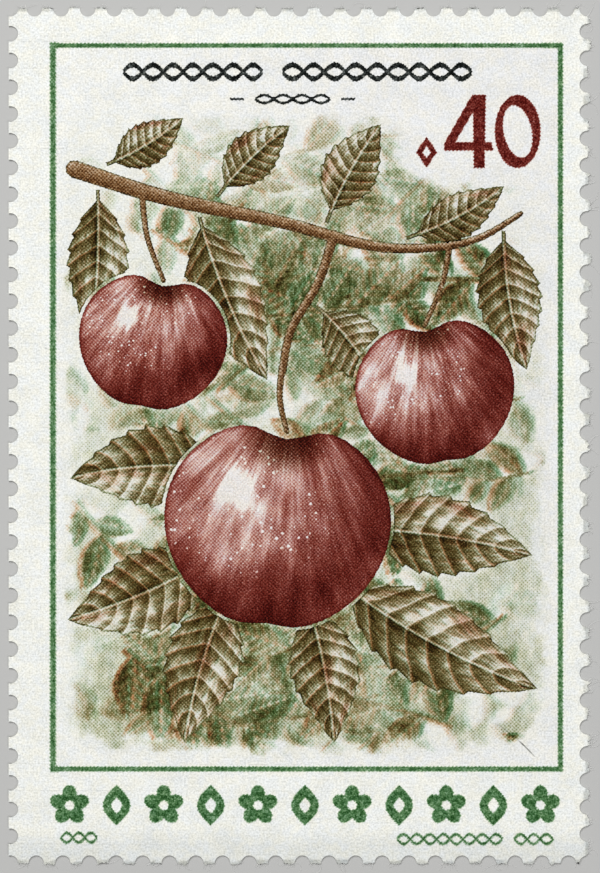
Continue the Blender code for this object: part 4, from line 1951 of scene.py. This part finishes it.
@dataclass
class Perforation:
    """The lines of holes, in millimetres. Each line starts at its own distance from a corner hole."""

    pitch_across: float = 1.495
    pitch_up: float = 1.503
    radius: float = 0.435
    holes_across: int = 21
    holes_up: int = 31
    first: dict[Side, float] = field(
        default_factory=lambda: {Side.FOOT: 1.45, Side.RIGHT: 1.64, Side.HEAD: 1.16, Side.LEFT: 1.40}
    )
    cut_reach: float = 0.10
    side_reach: float = 0.25
    end_reach: float = 0.10

    def __post_init__(self) -> None:
        """Works out the lines of hole centres from the sheet's size."""
        low, high = (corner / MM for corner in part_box("paper_sheet"))
        self.left, self.right = low.x + self.cut_reach, high.x - self.side_reach
        self.bottom, self.top = low.y + self.end_reach, high.y - self.end_reach

    def centres(self) -> np.ndarray:
        """Places the holes.

        Returns:
            The centre of every hole.
        """
        corners = [(x, y) for x in (self.left, self.right) for y in (self.bottom, self.top)]
        across = self.pitch_across * np.arange(self.holes_across)
        up = self.pitch_up * np.arange(self.holes_up)
        lines = (
            [(self.left + self.first[Side.FOOT] + x, self.bottom) for x in across],
            [(self.right - self.first[Side.HEAD] - x, self.top) for x in across],
            [(self.right, self.bottom + self.first[Side.RIGHT] + y) for y in up],
            [(self.left, self.top - self.first[Side.LEFT] - y) for y in up],
        )
        return np.array(sum(lines, corners))


class Fibre(Enum):
    """The loose fibres of a torn edge: how many for each millimetre, and what they are like.

    Each value is the number to a millimetre, the shortest and longest in millimetres, how
    far they lean and curl in radians, and the thinnest and thickest radius in millimetres.
    """

    FUZZ = (28.0, 0.07, 0.38, 0.90, 1.9, 0.006, 0.010)
    STRAY = (1.10, 0.40, 1.15, 1.00, 2.3, 0.007, 0.010)


@dataclass
class PaperSheet:
    """The sheet, with clean holes, a cut left side and torn teeth with loose fibres.

    Lengths are in millimetres. The cuts lie past the lines of holes, and the teeth are pulled thin
    from one of them. The fibres stand closer in a tuft at one place, which is frayed.
    """

    prints: PrintRoom
    perforation: Perforation
    seed: int = 23
    end_cuts: tuple[float, ...] = (-0.22, -0.10, -0.02, 0.05)
    side_cuts: tuple[float, ...] = (-0.26, -0.14, -0.02, 0.12)
    end_margin: float = 0.16
    side_margin: float = 0.20
    hole_gap: float = 0.012
    rim_reach: float = 0.02
    frays: tuple[Span, Span] = ((1.7, 0.10), (7.0, 0.07))
    bristle: Span = (-0.03, 0.03)
    wear: float = 0.02
    cut_slack: float = 0.01
    tear_step: Span = (-0.13, 0.02)
    tear_depth: Span = (0.55, 1.0)
    row_seeds: tuple[int, int] = (1000, 2000)
    thinning: float = 0.55
    frayed: Span = (16.1, 23.9)
    frayed_reach: float = 1.1
    frayed_often: float = 5.0
    fibre_steps: int = 7
    fibre_levels: Span = (0.02, 0.035)
    root_depth: float = 0.04
    taper: float = 0.55
    droop: float = 0.8
    tip_height: float = 0.01
    least_height: float = 0.004

    def build(self) -> Iterable[bpy.types.Object]:
        """Makes the sheet and its fibres.

        Returns:
            The pieces, one by one.
        """
        film = Film("paper_sheet")
        self.round_holes(film)
        holes = self.perforation
        for out in self.end_cuts:
            film.cut(1, holes.top + out, film.face.edges)
            film.cut(1, holes.bottom - out, film.face.edges)
        for out in self.side_cuts:
            film.cut(0, holes.right + out, film.face.edges)
        tears = [self.tear_at(vert.co.xy / MM) for vert in film.face.verts]
        film.mark("tear", tears)
        for vert, tear in zip(film.face.verts, tears):
            vert.co.z -= (film.top - film.base) * self.thinning * tear
        self.fray(film)
        sheet, rim = film.finish("paper_sheet_torn", TornPaper().material(self.prints), "paper")
        yield sheet
        material = TornFibre().material(self.prints)
        for kind in Fibre:
            yield self.fibres(f"{kind.name.lower()}_fibres", kind, rim, material)

    def torn(self, x: float, y: float) -> Vector | None:
        """Which way the sheet was torn off at a place on its rim.

        Args:
            x: The place across, in millimetres.
            y: The place up.

        Returns:
            The way, or nothing where the sheet wasn't torn.
        """
        holes = self.perforation
        if y > holes.top - self.end_margin:
            return Vector((0.0, 1.0))
        if y < holes.bottom + self.end_margin:
            return Vector((0.0, -1.0))
        if x > holes.right - self.side_margin:
            return Vector((1.0, 0.0))
        return None

    def in_hole(self, x: float, y: float) -> bool:
        """Whether a place in millimetres is at a hole's rim, or inside the hole."""
        return np.hypot(*(self.centres - (x, y)).T).min() < self.perforation.radius + self.hole_gap

    def round_holes(self, film: Film) -> None:
        """Brings the rim of every hole to a true circle.

        Args:
            film: The sheet, which is changed.
        """
        self.centres = self.perforation.centres()
        radius = self.perforation.radius
        for vert in [vert for vert in film.face.verts if vert.is_boundary]:
            arms = np.array(vert.co[:2]) / MM - self.centres
            gaps = np.hypot(*arms.T)
            nearest = gaps.argmin()
            if abs(gaps[nearest] - radius) < self.rim_reach:
                vert.co.x, vert.co.y = (self.centres[nearest] + arms[nearest] / gaps[nearest] * radius) * MM

    def fray(self, film: Film) -> None:
        """Roughens the torn teeth's ends, each tooth in its own way.

        Args:
            film: The sheet, which is changed.
        """
        draw = random.Random(self.seed)
        for vert in [vert for vert in film.face.verts if vert.is_boundary]:
            place = vert.co.xy / MM
            away = self.torn(*place)
            if away is not None and not self.in_hole(*place):
                rough = sum(
                    noise.noise(Vector((place.x * often, place.y * often, self.seed))) * reach
                    for often, reach in self.frays
                )
                vert.co.xy += away * (rough + draw.uniform(*self.bristle) - self.wear) * MM

    def tear_at(self, place: Vector) -> float:
        """How thin the sheet was pulled at a place, from 0 to 1.

        Args:
            place: Where it is.

        Returns:
            The share that is torn away. Each tooth has its own.
        """
        holes = self.perforation
        ends = max(place.y - holes.top, holes.bottom - place.y)
        side = place.x - holes.right
        out, cuts, pitch, along = (ends, self.end_cuts, holes.pitch_across, place.x)
        if side > ends:
            out, cuts, pitch, along = (side, self.side_cuts, holes.pitch_up, place.y)
        if out < cuts[0] + self.cut_slack:
            return 0.0
        right, upper = self.row_seeds
        tooth = round(along / pitch * 2.0) + (right if side > ends else 0)
        draw = random.Random(tooth + (upper if place.y > 0 else 0))
        start = draw.choice(cuts[1:])
        low, high = (start + step for step in self.tear_step)
        return float(smooth_step(np.array(out), low, high)) * draw.uniform(*self.tear_depth)

    def fibres(self, name: str, kind: Fibre, rim: Rim, material: bpy.types.Material) -> bpy.types.Object:
        """Loose fibres along the torn teeth.

        Args:
            name: The piece's name.
            kind: What the fibres are like.
            rim: The sheet's outline.
            material: The fibres' material.

        Returns:
            The piece.
        """
        often, shortest, longest, lean, curl, thinnest, thickest = kind.value
        draw = random.Random(name)
        pattern = self.straight_fibre()
        every = bmesh.new()
        spare = bpy.data.meshes.new("one_fibre")
        low, high = (corner.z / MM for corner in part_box("paper_sheet"))
        lowest, lacking = self.fibre_levels
        for first, last in rim.edges:
            start, end = rim.points[first], rim.points[last]
            away = self.torn(*start)
            chance = often * np.hypot(*(end - start))
            if np.hypot(*(start - np.array(self.frayed))) < self.frayed_reach:
                chance *= self.frayed_often
            if away is None or self.in_hole(*start) or draw.random() > chance:
                continue
            heading = math.atan2(away.y, away.x) + draw.gauss(0.0, lean)
            radius, length = draw.uniform(thinnest, thickest), draw.uniform(shortest, longest)
            curve = draw.gauss(0.0, curl)
            level = low + lowest + (high - low - lacking) * draw.random()
            fibre = pattern.copy()
            root = Vector(start) - away * self.root_depth
            self.lay(fibre, root, heading, curve, length, radius, level)
            fibre.to_mesh(spare)
            every.from_mesh(spare)
            fibre.free()
        mesh = bpy.data.meshes.new(name)
        every.to_mesh(mesh)
        every.free()
        pattern.free()
        bpy.data.meshes.remove(spare)
        return add_object(name, mesh, material, "paper")

    def straight_fibre(self) -> bmesh.types.BMesh:
        """Makes a fibre to be bent.

        Returns:
            A three-sided fibre of unit length and radius, along Z.
        """
        fibre = bmesh.new()
        bmesh.ops.create_circle(fibre, cap_ends=True, segments=3, radius=1.0)
        cap = fibre.faces[:]
        for _ in range(self.fibre_steps):
            drawn = bmesh.ops.extrude_face_region(fibre, geom=cap)["geom"]
            moved = [part for part in drawn if isinstance(part, bmesh.types.BMVert)]
            bmesh.ops.translate(fibre, verts=moved, vec=(0.0, 0.0, 1.0 / self.fibre_steps))
            bmesh.ops.delete(fibre, geom=cap, context="FACES_ONLY")
            cap = [part for part in drawn if isinstance(part, bmesh.types.BMFace)]
        fibre.faces.ensure_lookup_table()
        bmesh.ops.holes_fill(fibre, edges=fibre.edges)
        bmesh.ops.recalc_face_normals(fibre, faces=fibre.faces)
        return fibre

    def lay(
        self,
        fibre: bmesh.types.BMesh,
        start: Vector,
        heading: float,
        curl: float,
        length: float,
        radius: float,
        level: float,
    ) -> None:
        """Bends a straight fibre to lie where it grows from the paper.

        Args:
            fibre: The fibre, which is changed.
            start: Its root, in millimetres.
            heading: The way it sets out, in radians.
            curl: How far it turns on its way, in radians.
            length: Its length in millimetres.
            radius: Its radius in millimetres.
            level: How high in the sheet's edge it starts, in millimetres.
        """
        spine = [start.copy()]
        for number in range(self.fibre_steps):
            turn = heading + curl * number / self.fibre_steps
            spine.append(spine[-1] + Vector((math.cos(turn), math.sin(turn))) * length / self.fibre_steps)
        for vert in fibre.verts:
            step = round(vert.co.z * self.fibre_steps)
            share = step / self.fibre_steps
            turn = heading + curl * share
            width = radius * (1.0 - self.taper * share)
            side = Vector((-math.sin(turn), math.cos(turn))) * vert.co.x * width
            place = spine[step] + side
            sunk = level * (1 - self.droop * share * share) + self.tip_height * share
            height = max(sunk + vert.co.y * width, self.least_height)
            vert.co = Vector((place.x, place.y, height)) * MM


@dataclass(frozen=True)
class Lamp:
    """A square soft light: its name, its place and size in metres, and its power in watts."""

    name: str
    place: tuple[float, float, float]
    size: float
    power: float

    def build(self) -> None:
        """Puts it up, aimed at the stamp."""
        lamp = bpy.data.lights.new(self.name, "AREA")
        lamp.size = self.size
        lamp.energy = self.power
        stand = bpy.data.objects.new(self.name, lamp)
        stand.location = self.place
        stand.rotation_mode = "QUATERNION"
        stand.rotation_quaternion = (-Vector(self.place)).to_track_quat("-Z", "Y")
        bpy.context.scene.collection.objects.link(stand)


@dataclass
class Studio:
    """The plain floor, the soft lights and the camera over the stamp, in metres.

    The lens and its sensor are in millimetres.
    """

    floor_size: float = 1.2
    floor_colour: Colour = (0.50, 0.50, 0.49)
    floor_roughness: float = 0.9
    lamps: tuple[Lamp, ...] = (
        Lamp("key", (-0.10, 0.22, 0.33), 0.20, 1.26),
        Lamp("fill", (0.20, -0.22, 0.36), 0.30, 0.71),
    )
    daylight: float = 0.24
    lens: float = 200.0
    sensor: float = 36.0
    view_height: float = 49.07 * MM
    aim: Span = (-0.01 * MM, -0.03 * MM)
    nearest: float = 0.01

    def build(self) -> None:
        """Sets everything out."""
        self.floor()
        for lamp in self.lamps:
            lamp.build()
        self.world()
        self.camera()

    def floor(self) -> None:
        """A pale grey table top."""
        plane = bmesh.new()
        bmesh.ops.create_grid(plane, x_segments=1, y_segments=1, size=self.floor_size / 2)
        mesh = bpy.data.meshes.new("floor")
        plane.to_mesh(mesh)
        plane.free()
        material = bpy.data.materials.new("floor_paint")
        material.use_nodes = True
        shader = material.node_tree.nodes["Principled BSDF"]
        shader.inputs["Base Color"].default_value = (*self.floor_colour, 1.0)
        shader.inputs["Roughness"].default_value = self.floor_roughness
        mesh.materials.append(material)
        floor = bpy.data.objects.new("floor", mesh)
        bpy.context.scene.collection.objects.link(floor)
        floor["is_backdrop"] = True

    def world(self) -> None:
        """Faint even light from all round."""
        world = bpy.data.worlds.new("studio")
        world.use_nodes = True
        background = world.node_tree.nodes["Background"]
        background.inputs["Color"].default_value = (1.0, 1.0, 1.0, 1.0)
        background.inputs["Strength"].default_value = self.daylight
        bpy.context.scene.world = world
        bpy.context.scene.view_settings.view_transform = "Standard"

    def camera(self) -> None:
        """A long lens straight above the stamp, with the top of the print upwards."""
        lens = bpy.data.cameras.new("camera")
        lens.lens = self.lens
        lens.sensor_width = self.sensor
        lens.clip_start = self.nearest
        camera = bpy.data.objects.new("camera", lens)
        camera.location = (*self.aim, self.view_height * self.lens / self.sensor)
        bpy.context.scene.collection.objects.link(camera)
        bpy.context.scene.camera = camera


def write_sizes() -> None:
    """Works out the CAD box and the dressed box, and keeps neither."""
    boxes = {"cad": CAD_BOX, "visual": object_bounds()}
    {name: [list(corner) for corner in box] for name, box in boxes.items()}


def main() -> None:
    """Builds the studio and the stamp, piece by piece."""
    logging.basicConfig(level=logging.INFO, format="%(name)s: %(message)s")
    prints = PrintRoom()
    Studio().build()
    for piece in PaperSheet(prints, Perforation()).build():
        LOG.info("paper: %s", piece.name)
    FRAME["nodes"]["gum_film"].data.materials.clear()
    FRAME["nodes"]["gum_film"].data.materials.append(DriedGum().material(prints))
    for piece in LineWork(prints).build():
        LOG.info("line work: %s", piece.name)
    rims = []
    for motif in [*Leaves(prints).build(), *Apples(prints).build(), Branch(prints).build()]:
        LOG.info("picture: %s", motif.piece.name)
        rims.append(motif.rim)
    ground = PictureGround(prints).build(rims)
    LOG.info("picture: %s", ground.name)
    write_sizes()


if __name__ == "__main__":
    main()
